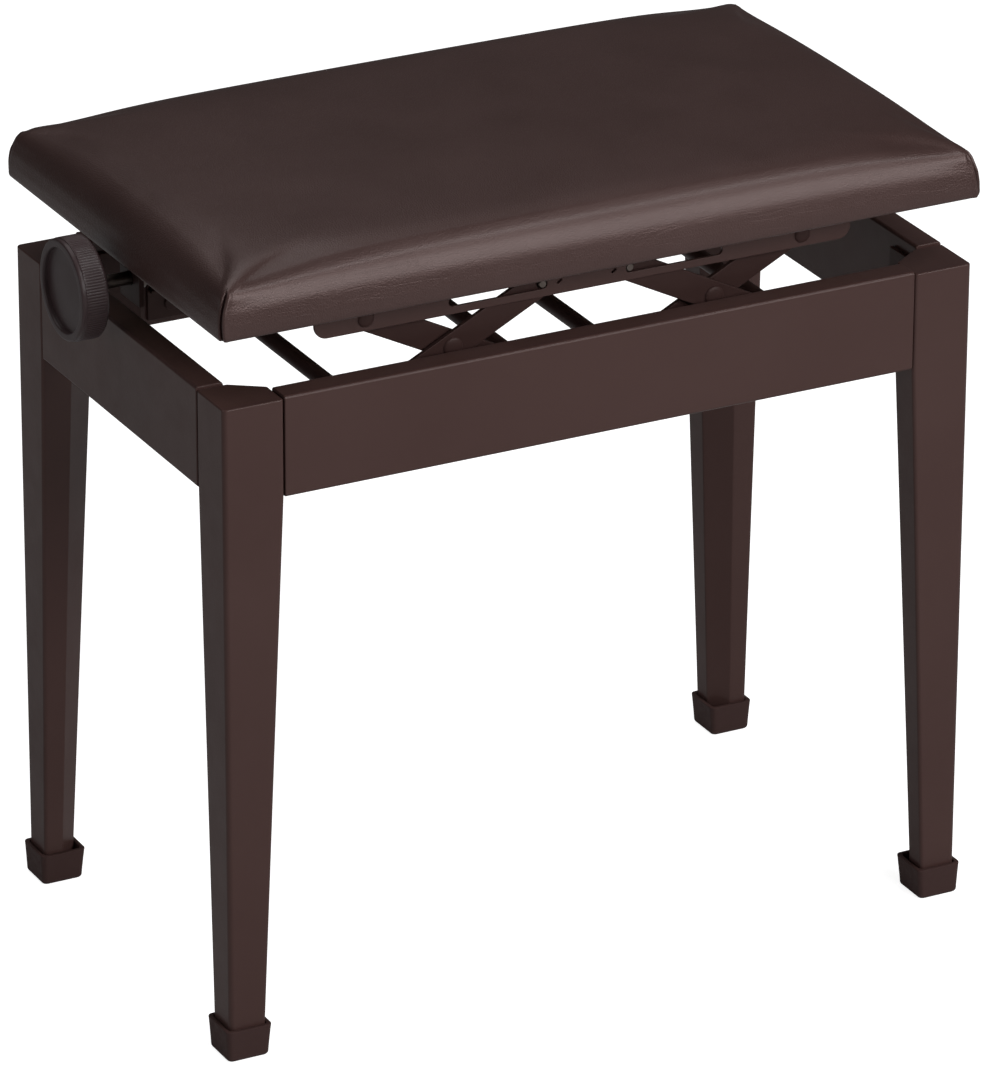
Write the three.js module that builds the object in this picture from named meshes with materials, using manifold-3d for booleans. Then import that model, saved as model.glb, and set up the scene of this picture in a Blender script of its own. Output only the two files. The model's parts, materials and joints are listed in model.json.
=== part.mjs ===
// Piano bench: a four-legged tube frame, a scissor lift worked by one lead screw with a side knob,
// and an upholstered seat. Millimetres, +Z up, the floor at z = 0, the knob on the -X side.
// The seat stands in its lowest position.
import * as THREE from "three";
import { mergeVertices } from "three/addons/utils/BufferGeometryUtils.js";
import Module from "manifold-3d";

const wasm = await Module();
wasm.setup();

// ---- driving dimensions (mm) ----
const gap = 0.3; // clearance between pieces that touch
const turnGap = 0.3; // radial clearance of a pin in its hole

const spanX = 480; // over the outer faces of the legs
const spanY = 278;
const legTop = 405;
const legX = 37.5; // leg section at the rails
const legY = 34.5;
const legFootX = 22; // leg section at the floor end
const legFootY = 22;
const legWall = 1.5;
const legRound = 3; // radius of the outer vertical edges
const legPlate = 2; // thickness of the plate that closes a leg's top
const legInnerX = 0.5; // where the inner chamfer meets the inner sides, as shares of the section
const legInnerY = 0.62;

const railProud = 1.5; // how far the rails' tops stand above the legs' tops
const railTop = legTop + railProud;
const railHeight = 61;
const railDepth = 17;
const railWall = 1.5;
const railRound = 2;
const railJoint = 0.5; // open joint between a rail's end and its leg

const capHeight = 20;
const capFloor = 3;
const capWall = 1.8;
const capFlare = 0.9; // how much the rim stands out past the foot of the cap
const capRound = 2.5;

const bracketThick = 2.5;
const bracketLegFront = 26; // how far a corner bracket runs along the long rail
const bracketLegSide = 24; // and along the short rail
const bracketOff = 0.6; // between a bracket's diagonal and its leg's chamfer
const bracketFoot = 6.5; // a bracket's lower edge above the rails' lower edges
const bracketTall = 46;
const bracketLow = railTop - railHeight + bracketFoot;
const bracketHigh = bracketLow + bracketTall;
const boltDia = 6;
const boltHeadDia = 12;
const boltHeadHeight = 4;
const boltReach = 9; // shank past the bracket, into the leg

const pivotInset = 100; // outer pivots, base and seat, inside the legs' outer faces
const pivotX = spanX / 2 - pivotInset;
const nutX = 28; // inner slides at rest, base and seat
const nutFarInset = 55; // inner slides inside the outer pivots, with the seat at its highest
const nutFarX = pivotX - nutFarInset;
const basePivotZ = railTop - railHeight / 2;
const liftRest = 57; // base pivots to seat pivots at rest
const seatPivotZ = basePivotZ + liftRest;

const seatRailPast = 32; // a seat rail's end past the outer pivots
const seatRailHalf = pivotX + seatRailPast;
const seatRailInset = 6.5; // between a seat rail's web and the long rail, seen from above
const seatRailY = spanY / 2 - railDepth - seatRailInset; // outer face of a seat rail's web
const seatRailThick = 2;
const seatRailBelow = 7.5; // web below the pivots
const seatRailFlange = 20.5;
const seatRailRound = 8;
const slotClear = 0.3;

const barDia = 10; // base bars
const trackEndClear = 4.6; // between a base track's end and the corner bracket
const trackThick = 2;
const trackArmClear = 1.3; // between a track's lips and the outer arms
const trackDepth = seatRailInset + seatRailThick - trackArmClear;
const trackDrop = 26; // web below the pivots
const trackFoot = basePivotZ - trackDrop;
const trackRivetInset = 15; // from a track's end
const trackRivetDia = 9;

const armThick = 3;
const armRing = 8.5; // radius of an arm's round ends
const armSpace = 1.5; // washer space between the outer and the inner arms
const rivetDia = 6;
const rivetHeadDia = 12;
const rivetHeadHeight = 1.5;

const nutLong = 16; // block of the cross nut, along the screw
const nutWide = 20;
const nutHigh = 16;
const journalDia = 5; // turned ends of the cross nut, in the arms and the seat rails' slots

const screwDia = 8;
const screwPast = 14; // screw past its far bearing
const collarDia = 14;
const collarLong = 5;

const pivotPinDia = 6;
const pivotHeadDia = 10;
const pivotShoulderDia = 9;

const strapThick = 2;
const strapWide = 20;
const strapX = pivotX + 16; // end straps
const centreHalf = 24; // half width of the middle plate
const dimpleX = 17.5; // small holes in a seat rail's web, between the slots
const dimpleDia = 6;
const tabBelow = 7.2; // middle plate's bearing tab below the screw's axis

const bearingThick = 3;
const bearingWide = 26;
const bearingFoot = 22; // flange on the seat board
const bearingRightX = nutFarX + 23;
const bearingBelow = 13.9; // bearing below the screw's axis

const armClear = 1.3; // between the arms' tops and the plates under the seat
const seatBottom = seatPivotZ + armRing + armClear + strapThick + seatRailThick + 2 * gap;
const padPastX = 3.3; // the pad's sides past the legs' outer faces
const padPastY = 5.3;
const padX = spanX + 2 * padPastX;
const padY = spanY + 2 * padPastY;
const boardInset = 8.3; // cover and foam around the board
const boardX = padX - 2 * boardInset;
const boardY = padY - 2 * boardInset;
const boardThick = 12;
const padWall = 22.6; // straight side of the pad
const padCrown = 42.6; // whole thickness in the middle
const padBulge = 0.8;
const padRound = 12;

const knobThick = 17;
const knobClear = 12.9; // between the pad's side and the knob's inner face
const bearingBehind = 18; // from the knob's hub to the first bearing
const knobFace = padX / 2 + padBulge + knobClear + knobThick; // outer face, from the bench's middle
const knobDia = 60;
const knobRim = 4.5;
const knobDish = 3;
const hubLong = 9;
const hubDia = 24;
const hubEndDia = 16;
const knobBore = 17;
const bearingLeftX = -(knobFace - knobThick - hubLong - bearingBehind);

// ---- materials ----
const coat = { color: 0x3b2622, roughness: 0.42, metalness: 0.35 };
const dark = { color: 0x241716, roughness: 0.5, metalness: 0.4 };
const zinc = { color: 0x8a7c74, roughness: 0.35, metalness: 0.9 };
const rubber = { color: 0x3a2522, roughness: 0.7, metalness: 0 };
const plastic = { color: 0x332b2c, roughness: 0.45, metalness: 0 };
const wood = { color: 0x9c7a52, roughness: 0.8, metalness: 0 };
const vinyl = { color: 0x33201f, roughness: 0.38, metalness: 0 };

// ---- solids ----
function solid(geometry) {
  const g = geometry.clone();
  g.deleteAttribute("normal");
  g.deleteAttribute("uv");
  const m = mergeVertices(g, 1e-4);
  return new wasm.Manifold(
    new wasm.Mesh({
      numProp: 3,
      vertProperties: new Float32Array(m.attributes.position.array),
      triVerts: new Uint32Array(m.index.array),
    }),
  );
}

function geometryOf(manifold) {
  const m = manifold.getMesh();
  const g = new THREE.BufferGeometry();
  g.setAttribute("position", new THREE.BufferAttribute(new Float32Array(m.vertProperties), 3));
  g.setIndex(new THREE.BufferAttribute(new Uint32Array(m.triVerts), 1));
  const flat = g.toNonIndexed();
  flat.computeVertexNormals();
  return flat;
}

function join(first, ...others) {
  let s = solid(first);
  for (const o of others) s = s.add(solid(o));
  return geometryOf(s);
}

function cut(first, ...others) {
  let s = solid(first);
  for (const o of others) s = s.subtract(solid(o));
  return geometryOf(s);
}

function block(x0, x1, y0, y1, z0, z1) {
  const g = new THREE.BoxGeometry(x1 - x0, y1 - y0, z1 - z0);
  return g.translate((x0 + x1) / 2, (y0 + y1) / 2, (z0 + z1) / 2);
}

// A rod along X, Y or Z between two positions on that axis, through the point (a, b) of the others.
function rod(axis, from, to, a, b, dia, sides = 16) {
  const g = new THREE.CylinderGeometry(dia / 2, dia / 2, to - from, sides);
  const mid = (from + to) / 2;
  if (axis === "x") return g.rotateZ(-Math.PI / 2).translate(mid, a, b);
  if (axis === "y") return g.translate(a, mid, b);
  return g.rotateX(Math.PI / 2).translate(a, b, mid);
}

// A turned piece along +X: points are [radius, x], both ends on the axis.
function turned(points, sides) {
  const g = new THREE.LatheGeometry(points.map(([r, x]) => new THREE.Vector2(r, x)), sides);
  return g.rotateZ(-Math.PI / 2);
}

// A plate whose outline is drawn in X and Z, with its thickness along Y from y0 to y1.
function plateXZ(shape, y0, y1, arc = 6) {
  const g = new THREE.ExtrudeGeometry(shape, { depth: y1 - y0, bevelEnabled: false, curveSegments: arc });
  return g.rotateX(Math.PI / 2).translate(0, y1, 0);
}

// An outline drawn in X and Y, raised from z0 to z1.
function prism(shape, z0, z1, arc = 6) {
  const g = new THREE.ExtrudeGeometry(shape, { depth: z1 - z0, bevelEnabled: false, curveSegments: arc });
  return g.translate(0, 0, z0);
}

function roundedRect(w, h, r, target = new THREE.Shape()) {
  const a = w / 2;
  const b = h / 2;
  target.moveTo(-a + r, -b);
  target.lineTo(a - r, -b);
  target.absarc(a - r, -b + r, r, -Math.PI / 2, 0, false);
  target.lineTo(a, b - r);
  target.absarc(a - r, b - r, r, 0, Math.PI / 2, false);
  target.lineTo(-a + r, b);
  target.absarc(-a + r, b - r, r, Math.PI / 2, Math.PI, false);
  target.lineTo(-a, -b + r);
  target.absarc(-a + r, -b + r, r, Math.PI, Math.PI * 1.5, false);
  return target;
}

function circle(x, y, dia) {
  return new THREE.Path().absarc(x, y, dia / 2, 0, Math.PI * 2, true);
}

// A closed skin over rings of equal point counts, each ring counter-clockwise seen from above.
function loft(rings) {
  const n = rings[0].length;
  const position = rings.flat(2);
  const index = [];
  for (let k = 0; k + 1 < rings.length; k++) {
    for (let i = 0; i < n; i++) {
      const a = k * n + i;
      const b = k * n + ((i + 1) % n);
      index.push(a, b, a + n, b, b + n, a + n);
    }
  }
  const top = (rings.length - 1) * n;
  for (let i = 1; i + 1 < n; i++) {
    index.push(0, i + 1, i);
    index.push(top, top + i, top + i + 1);
  }
  const g = new THREE.BufferGeometry();
  g.setAttribute("position", new THREE.Float32BufferAttribute(position, 3));
  g.setIndex(index);
  const flat = g.toNonIndexed();
  flat.computeVertexNormals();
  return flat;
}

const bench = new THREE.Group();
function add(name, geometry, look, parent = bench) {
  const mesh = new THREE.Mesh(geometry, new THREE.MeshStandardMaterial(look));
  mesh.name = name;
  parent.add(mesh);
  return mesh;
}

const sides = [["front", -1], ["back", 1]];
const ends = [["left", -1], ["right", 1]];

// ---- legs ----
// One leg's section with its outer corner at the origin and its body towards +x and +y,
// grown by `grow` all round: three rounded outer corners and the chamfered inner one.
function legSection(w, d, grow, round, z) {
  const r = Math.max(round + grow, 0.4);
  const x1 = w + grow;
  const y1 = d + grow;
  const nx = d * (1 - legInnerY); // square to the chamfer
  const ny = w * (1 - legInnerX);
  const n = Math.hypot(nx, ny);
  const ring = [];
  const arc = (cx, cy, from) => {
    for (let k = 0; k <= 3; k++) {
      const t = ((from + k * 30) * Math.PI) / 180;
      ring.push([cx + r * Math.cos(t), cy + r * Math.sin(t), z]);
    }
  };
  arc(r - grow, r - grow, 180);
  arc(x1 - r, r - grow, 270);
  ring.push([x1, d * legInnerY + (grow * (n - nx)) / ny, z]);
  ring.push([w * legInnerX + (grow * (n - ny)) / nx, y1, z]);
  arc(r - grow, y1 - r, 90);
  return ring;
}

const railBottom = railTop - railHeight;
const legFoot = capFloor + gap;

// The leg is straight beside the rails and tapers on its two inner sides from there down.
function legSizeAt(z) {
  const share = Math.min((z - legFoot) / (railBottom - legFoot), 1);
  return [legFootX + (legX - legFootX) * share, legFootY + (legY - legFootY) * share];
}

function legBody(grow, low, high) {
  const at = (z) => legSection(...legSizeAt(z), grow, legRound, z);
  return loft(high > railBottom ? [at(low), at(railBottom), at(high)] : [at(low), at(high)]);
}

// The inner corner's chamfer, as seen from above, in the leg's own corner frame.
const chamferA = new THREE.Vector2(legX, legY * legInnerY);
const chamferB = new THREE.Vector2(legX * legInnerX, legY);

function bracketPath() {
  // The line the bracket's outer face follows, in the same corner frame: along the long rail,
  // across the leg's chamfer and parallel to it, along the short rail.
  const y = railDepth + gap;
  const x = railDepth + gap;
  const n = new THREE.Vector2(chamferB.y - chamferA.y, chamferA.x - chamferB.x).normalize();
  const c = n.dot(chamferA) + bracketOff;
  const turnA = new THREE.Vector2((c - n.y * y) / n.x, y);
  const turnB = new THREE.Vector2(x, (c - n.x * x) / n.y);
  return [
    new THREE.Vector2(turnA.x + bracketLegFront, y),
    turnA,
    turnB,
    new THREE.Vector2(x, turnB.y + bracketLegSide),
  ];
}

function bracketShape() {
  const path = bracketPath();
  const normal = (a, b) => new THREE.Vector2(a.y - b.y, b.x - a.x).normalize();
  const normals = [0, 1, 2].map((i) => normal(path[i], path[i + 1]).multiplyScalar(-1));
  const offset = path.map((p, i) => {
    const a = normals[Math.max(i - 1, 0)];
    const b = normals[Math.min(i, 2)];
    const m = a.clone().add(b).normalize();
    return p.clone().add(m.clone().multiplyScalar(bracketThick / m.dot(a)));
  });
  return new THREE.Shape([...path, ...offset.reverse()]);
}

// The bolt's line: square to the chamfer, through the middle of the bracket's diagonal.
function boltLine() {
  const path = bracketPath();
  const mid = path[1].clone().add(path[2]).multiplyScalar(0.5);
  const along = path[2].clone().sub(path[1]).normalize();
  return { mid, angle: Math.atan2(-along.x, along.y) };
}

function boltAt(geometry) {
  // A turned piece along +X is set on the bolt's line, pointing away from the leg.
  const { mid, angle } = boltLine();
  const z = (bracketLow + bracketHigh) / 2;
  return geometry.rotateZ(angle).translate(mid.x, mid.y, z);
}

for (const [side, sy] of sides) {
  for (const [end, sx] of ends) {
    const corner = new THREE.Group();
    corner.position.set((sx * spanX) / 2, (sy * spanY) / 2, 0);
    corner.scale.set(-sx, -sy, 1);
    bench.add(corner);
    const where = side + "_" + end;

    const boltHole = boltAt(rod("x", -boltReach - 3, 6, 0, 0, boltDia + 2 * turnGap));
    const body = cut(
      legBody(0, legFoot, legTop),
      legBody(-legWall, legFoot - 1, legTop - legPlate),
      boltHole,
    );
    add("leg_" + where, body, coat, corner);

    // The foot cap: a flared square cup around the leg's foot.
    const capRing = (z, more) => {
      const [w, d] = legSizeAt(Math.max(z, legFoot));
      const g = capWall + gap + more;
      const r = capRound;
      const ring = [];
      const [x1, y1] = [w + g - r, d + g - r];
      const centres = [[r - g, r - g, 180], [x1, r - g, 270], [x1, y1, 0], [r - g, y1, 90]];
      for (const [cx, cy, from] of centres) {
        for (let k = 0; k <= 3; k++) {
          const t = ((from + k * 30) * Math.PI) / 180;
          ring.push([cx + r * Math.cos(t), cy + r * Math.sin(t), z]);
        }
      }
      return ring;
    };
    const cup = cut(
      loft([capRing(0, 0), capRing(capHeight, capFlare)]),
      legBody(gap, capFloor, capHeight + 1),
    );
    add("foot_cap_" + where, cup, rubber, corner);

    const bent = cut(prism(bracketShape(), bracketLow, bracketHigh), boltHole);
    add("corner_bracket_" + where, bent, dark, corner);

    const head = rod("x", bracketThick + gap, bracketThick + gap + boltHeadHeight, 0, 0, boltHeadDia, 6);
    const shank = rod("x", -boltReach, bracketThick + gap + 1, 0, 0, boltDia);
    add("corner_bolt_" + where, boltAt(join(head, shank)), zinc, corner);
  }
}

// ---- rails ----
function railTube(length, axis) {
  const shape = roundedRect(railDepth, railHeight, railRound);
  const inner = new THREE.Path();
  roundedRect(railDepth - 2 * railWall, railHeight - 2 * railWall, railRound / 2, inner);
  shape.holes.push(inner);
  const g = new THREE.ExtrudeGeometry(shape, { depth: length, bevelEnabled: false, curveSegments: 2 });
  g.translate(0, 0, -length / 2).rotateX(Math.PI / 2); // the section in X and Z, the length along Y
  if (axis === "x") g.rotateZ(Math.PI / 2);
  return g.translate(0, 0, railTop - railHeight / 2);
}

const railInnerX = spanX / 2 - railDepth;
const railInnerY = spanY / 2 - railDepth;

for (const [side, sy] of sides) {
  const rail = add("rail_" + side, railTube(spanX - 2 * (legX + railJoint), "x"), coat);
  rail.position.y = sy * (spanY / 2 - railDepth / 2);
}
for (const [end, sx] of ends) {
  const rail = add("rail_" + end, railTube(spanY - 2 * (legY + railJoint), "y"), coat);
  rail.position.x = sx * (spanX / 2 - railDepth / 2);
}

// ---- base tracks and the bars that turn and slide in them ----
const trackHalf = spanX / 2 - bracketPath()[0].x - trackEndClear;
const trackRivetX = trackHalf - trackRivetInset;
const trackWebY = railInnerY - gap; // outer face of a track's web
const barEnd = trackWebY - trackThick - gap;
const trackGap = barDia / 2 + gap;
for (const [side, sy] of sides) {
  const inner = trackWebY - trackDepth;
  const web = block(-trackHalf, trackHalf, trackWebY - trackThick, trackWebY, trackFoot,
    basePivotZ + trackGap + trackThick);
  const parts = [1, -1].map((k) => {
    const near = basePivotZ + k * trackGap;
    const far = near + k * trackThick;
    const [z0, z1] = [Math.min(near, far), Math.max(near, far)];
    return block(-trackHalf, trackHalf, inner, trackWebY - trackThick / 2, z0, z1);
  });
  const rivets = [-1, 1].map((k) => {
    const z = (trackFoot + basePivotZ - trackGap - trackThick) / 2;
    return rod("y", trackWebY - trackThick - 1.5, trackWebY - 1, k * trackRivetX, z, trackRivetDia, 16);
  });
  const g = join(web, ...parts, ...rivets);
  if (sy < 0) g.rotateZ(Math.PI);
  add("base_track_" + side, g, dark);
}
for (const [end, sx] of ends) {
  add("pivot_bar_" + end, rod("y", -barEnd, barEnd, sx * pivotX, basePivotZ, barDia), dark);
}

// ---- scissor arms ----
const armSpan = pivotX - nutX;
const armLength = Math.hypot(armSpan, liftRest);
const armAngle = Math.atan2(liftRest, armSpan);
const webInnerY = seatRailY - seatRailThick;
const outerArmY = webInnerY - gap - armThick; // inner face of the outer arms, from the middle
const innerArmY = outerArmY - armSpace - armThick; // inner face of the inner arms
const rivetX = pivotX - armSpan / 2;
const rivetZ = basePivotZ + liftRest / 2;

// An arm along +X from the pivot at its foot, with its three holes.
function armPlate(footDia, topDia) {
  const r = armRing;
  const shape = new THREE.Shape();
  shape.moveTo(0, -r);
  shape.lineTo(armLength, -r);
  shape.absarc(armLength, 0, r, -Math.PI / 2, Math.PI / 2, false);
  shape.lineTo(0, r);
  shape.absarc(0, 0, r, Math.PI / 2, Math.PI * 1.5, false);
  shape.holes.push(circle(0, 0, footDia + 2 * turnGap));
  shape.holes.push(circle(armLength / 2, 0, rivetDia + 2 * turnGap));
  shape.holes.push(circle(armLength, 0, topDia + 2 * turnGap));
  const g = new THREE.ExtrudeGeometry(shape, { depth: armThick, bevelEnabled: false, curveSegments: 7 });
  return g.rotateX(Math.PI / 2).translate(0, armThick / 2, 0); // drawn in X and Z, thickness along Y
}

for (const [end, sx] of ends) {
  for (const [side, sy] of sides) {
    // Outer arm: from the fixed pivot bar up to the cross nut.
    const outer = new THREE.Group();
    outer.position.set(sx * pivotX, sy * (outerArmY + armThick / 2), basePivotZ);
    outer.scale.x = -sx;
    const outerTurn = new THREE.Group();
    outerTurn.rotation.y = -armAngle;
    outer.add(outerTurn);
    bench.add(outer);
    add("outer_arm_" + side + "_" + end, armPlate(barDia, journalDia), dark, outerTurn);

    // Inner arm: from the sliding bar up to the seat rail's pivot pin.
    const inner = new THREE.Group();
    inner.position.set(sx * nutX, sy * (innerArmY + armThick / 2), basePivotZ);
    inner.scale.x = sx;
    const innerTurn = new THREE.Group();
    innerTurn.rotation.y = -armAngle;
    inner.add(innerTurn);
    bench.add(inner);
    add("inner_arm_" + side + "_" + end, armPlate(barDia, pivotPinDia), dark, innerTurn);

    // Crossing rivet, with a head on each face of the pair.
    const out = outerArmY + armThick + gap;
    const into = innerArmY - gap;
    const rivet = join(
      rod("y", into - 1, out + 1, 0, 0, rivetDia),
      rod("y", out, out + rivetHeadHeight, 0, 0, rivetHeadDia),
      rod("y", into - rivetHeadHeight, into, 0, 0, rivetHeadDia),
    );
    const r = add("crossing_rivet_" + side + "_" + end, sy < 0 ? rivet.rotateZ(Math.PI) : rivet, dark);
    r.position.set(sx * rivetX, 0, rivetZ);
  }
  add("slide_bar_" + end, rod("y", -barEnd, barEnd, sx * nutX, basePivotZ, barDia), dark);
}

// ---- cross nuts and lead screw ----
for (const [end, sx] of ends) {
  const body = join(
    block(-nutLong / 2, nutLong / 2, -nutWide / 2, nutWide / 2, -nutHigh / 2, nutHigh / 2),
    rod("y", -(outerArmY - gap), outerArmY - gap, 0, 0, barDia),
    rod("y", -(seatRailY - gap), seatRailY - gap, 0, 0, journalDia),
  );
  const nut = cut(body, rod("x", -nutLong, nutLong, 0, 0, screwDia + 2 * turnGap));
  add("cross_nut_" + end, nut, zinc).position.set(sx * nutX, 0, seatPivotZ);
}

const knobInner = knobFace - knobThick;
const bearingFaceX = bearingLeftX + bearingThick / 2;
const screw = join(
  rod("x", -(knobInner - hubLong + knobBore), bearingRightX + screwPast, 0, 0, screwDia),
  rod("x", bearingFaceX + gap, bearingFaceX + gap + collarLong, 0, 0, collarDia),
  rod("x", bearingRightX + bearingThick / 2 + gap, bearingRightX + bearingThick / 2 + gap + collarLong,
    0, 0, collarDia),
);
add("lead_screw", screw, zinc).position.z = seatPivotZ;

// The knob: a dished face inside a raised rim, a straight grip and a cone towards the screw.
const rimR = knobDia / 2;
const knobShell = turned(
  [
    [0, knobDish],
    [rimR - knobRim - 1.5, knobDish],
    [rimR - knobRim, 0.6],
    [rimR - knobRim + 1, 0],
    [rimR - 1, 0],
    [rimR, 1.2],
    [rimR, knobThick - 1.5],
    [rimR - 1.5, knobThick],
    [hubDia / 2, knobThick],
    [hubEndDia / 2, knobThick + hubLong],
    [0, knobThick + hubLong],
  ],
  36,
).translate(-knobFace, 0, 0);
const knobHole = rod("x", -(knobInner - hubLong + knobBore) - gap, -knobInner + hubLong + 5, 0, 0,
  screwDia + 2 * turnGap);
add("knob", cut(knobShell, knobHole), plastic).position.z = seatPivotZ;

// ---- seat steelwork ----
const flangeTop = seatBottom - gap;
const plateTop = flangeTop - seatRailThick - gap;

function seatRailWeb() {
  const r = seatRailRound;
  const low = seatPivotZ - seatRailBelow;
  const shape = new THREE.Shape();
  shape.moveTo(-seatRailHalf, flangeTop);
  shape.lineTo(-seatRailHalf, low + r);
  shape.absarc(-seatRailHalf + r, low + r, r, Math.PI, Math.PI * 1.5, false);
  shape.lineTo(seatRailHalf - r, low);
  shape.absarc(seatRailHalf - r, low + r, r, -Math.PI / 2, 0, false);
  shape.lineTo(seatRailHalf, flangeTop);
  for (const [, sx] of ends) {
    shape.holes.push(circle(sx * pivotX, seatPivotZ, pivotPinDia + 2 * turnGap));
    shape.holes.push(circle(sx * dimpleX, seatPivotZ, dimpleDia));
    const slot = new THREE.Path();
    const h = journalDia / 2 + slotClear;
    const x0 = Math.min(sx * nutX, sx * nutFarX);
    const x1 = Math.max(sx * nutX, sx * nutFarX);
    slot.moveTo(x0, seatPivotZ - h);
    slot.absarc(x0, seatPivotZ, h, -Math.PI / 2, -Math.PI * 1.5, true);
    slot.absarc(x1, seatPivotZ, h, Math.PI / 2, -Math.PI / 2, true);
    shape.holes.push(slot);
  }
  return plateXZ(shape, webInnerY, seatRailY);
}

for (const [side, sy] of sides) {
  const flange = block(-seatRailHalf, seatRailHalf, seatRailY - seatRailFlange, webInnerY + seatRailThick / 2,
    flangeTop - seatRailThick, flangeTop);
  const g = join(seatRailWeb(), flange);
  if (sy < 0) g.scale(1, -1, 1);
  const rail = add("seat_rail_" + side, g, coat);
  if (sy < 0) flip(rail.geometry);
  for (const [end, sx] of ends) {
    const into = innerArmY - gap;
    const pin = join(
      rod("y", into - 1, seatRailY + gap + 1, 0, 0, pivotPinDia),
      rod("y", into - rivetHeadHeight, into, 0, 0, pivotHeadDia),
      rod("y", innerArmY + armThick + gap, webInnerY - gap, 0, 0, pivotShoulderDia),
      rod("y", seatRailY + gap, seatRailY + gap + rivetHeadHeight, 0, 0, pivotHeadDia),
    );
    if (sy < 0) pin.rotateZ(Math.PI);
    add("seat_pivot_pin_" + side + "_" + end, pin, dark).position.set(sx * pivotX, 0, seatPivotZ);
  }
}

// Turns the faces of a mirrored geometry the right way round again.
function flip(g) {
  const p = g.attributes.position.array;
  for (let i = 0; i < p.length; i += 9) {
    for (let k = 0; k < 3; k++) [p[i + 3 + k], p[i + 6 + k]] = [p[i + 6 + k], p[i + 3 + k]];
  }
  g.computeVertexNormals();
}

// Middle plate: joins the two seat rails under their flanges, and carries the screw's middle
// bearing on a folded tab.
const tabY = webInnerY - gap;
const plate = block(-centreHalf, centreHalf, -tabY, tabY, plateTop - strapThick, plateTop);
const screwHole = rod("x", -20, 20, 0, seatPivotZ, screwDia + 2 * turnGap);
const tabLow = seatPivotZ - tabBelow;
const middleTab = block(-1.25, 1.25, -bearingWide / 2, bearingWide / 2, tabLow, plateTop - 0.5);
add("seat_middle_plate", cut(join(plate, middleTab), screwHole), dark);

for (const [end, sx] of ends) {
  const strap = block(-strapWide / 2, strapWide / 2, -tabY, tabY, plateTop - strapThick, plateTop);
  add("seat_strap_" + end, strap, dark).position.x = sx * strapX;
}

for (const [end, x, turn] of [["left", bearingLeftX, 1], ["right", bearingRightX, -1]]) {
  const t = bearingThick / 2;
  const low = seatPivotZ - bearingBelow;
  const upright = block(-t, t, -bearingWide / 2, bearingWide / 2, low, flangeTop);
  const footLow = flangeTop - bearingThick + 1;
  const foot = block(-t, bearingFoot, -bearingWide / 2, bearingWide / 2, footLow, flangeTop);
  const hole = rod("x", -10, 10, 0, seatPivotZ, screwDia + 2 * turnGap);
  const g = cut(join(upright, foot), hole);
  if (turn < 0) g.rotateZ(Math.PI);
  add("screw_bearing_" + end, g, dark).position.x = x;
}

// ---- seat board and pad ----
const boardTop = seatBottom + boardThick;
add("seat_board", block(-boardX / 2, boardX / 2, -boardY / 2, boardY / 2, seatBottom, boardTop), wood);

function padRing(z, inset, round) {
  const shape = roundedRect(padX - 2 * inset, padY - 2 * inset, round);
  return shape.getPoints(4).slice(0, -1).map((p) => [p.x, p.y, z]);
}
const crown = padCrown - padWall;
const padRings = [padRing(seatBottom, 0, padRound), padRing(seatBottom + padWall / 2, -padBulge, padRound)];
padRings.push(padRing(seatBottom + padWall, 0, padRound));
for (const [rise, inset] of [[0.3, 2.2], [0.55, 6.5], [0.76, 14], [0.9, 28], [0.975, 52], [1, 90]]) {
  padRings.push(padRing(seatBottom + padWall + crown * rise, inset, padRound + inset * 0.4));
}
const pocket = block(-boardX / 2 - gap, boardX / 2 + gap, -boardY / 2 - gap, boardY / 2 + gap,
  seatBottom - 5, boardTop + gap);
add("seat_pad", cut(loft(padRings), pocket), vinyl);

// The origin is under the middle of the whole bounding box, knob included.
bench.position.x = (knobFace - (padX / 2 + padBulge)) / 2;

const piano_bench = new THREE.Group();
piano_bench.name = "piano_bench";
piano_bench.add(bench);

export default piano_bench;
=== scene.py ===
# %% [markdown]
# # A piano bench with a screw-driven scissor lift
# The CAD model holds the sizes, the pivots and the motion. This notebook dresses it: painted steel
# with rounded edges, a fluted knob, a threaded screw, and a leather-cloth seat whose padding is
# blown up by a short cloth simulation. Each piece takes its place and its outer size from the CAD
# node that it stands for. Radii, wall thicknesses and other small sizes are set here.

# %% Load the frame
import json
import math

import bmesh
import bpy
import numpy as np
from mathutils import Matrix, Vector


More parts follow.
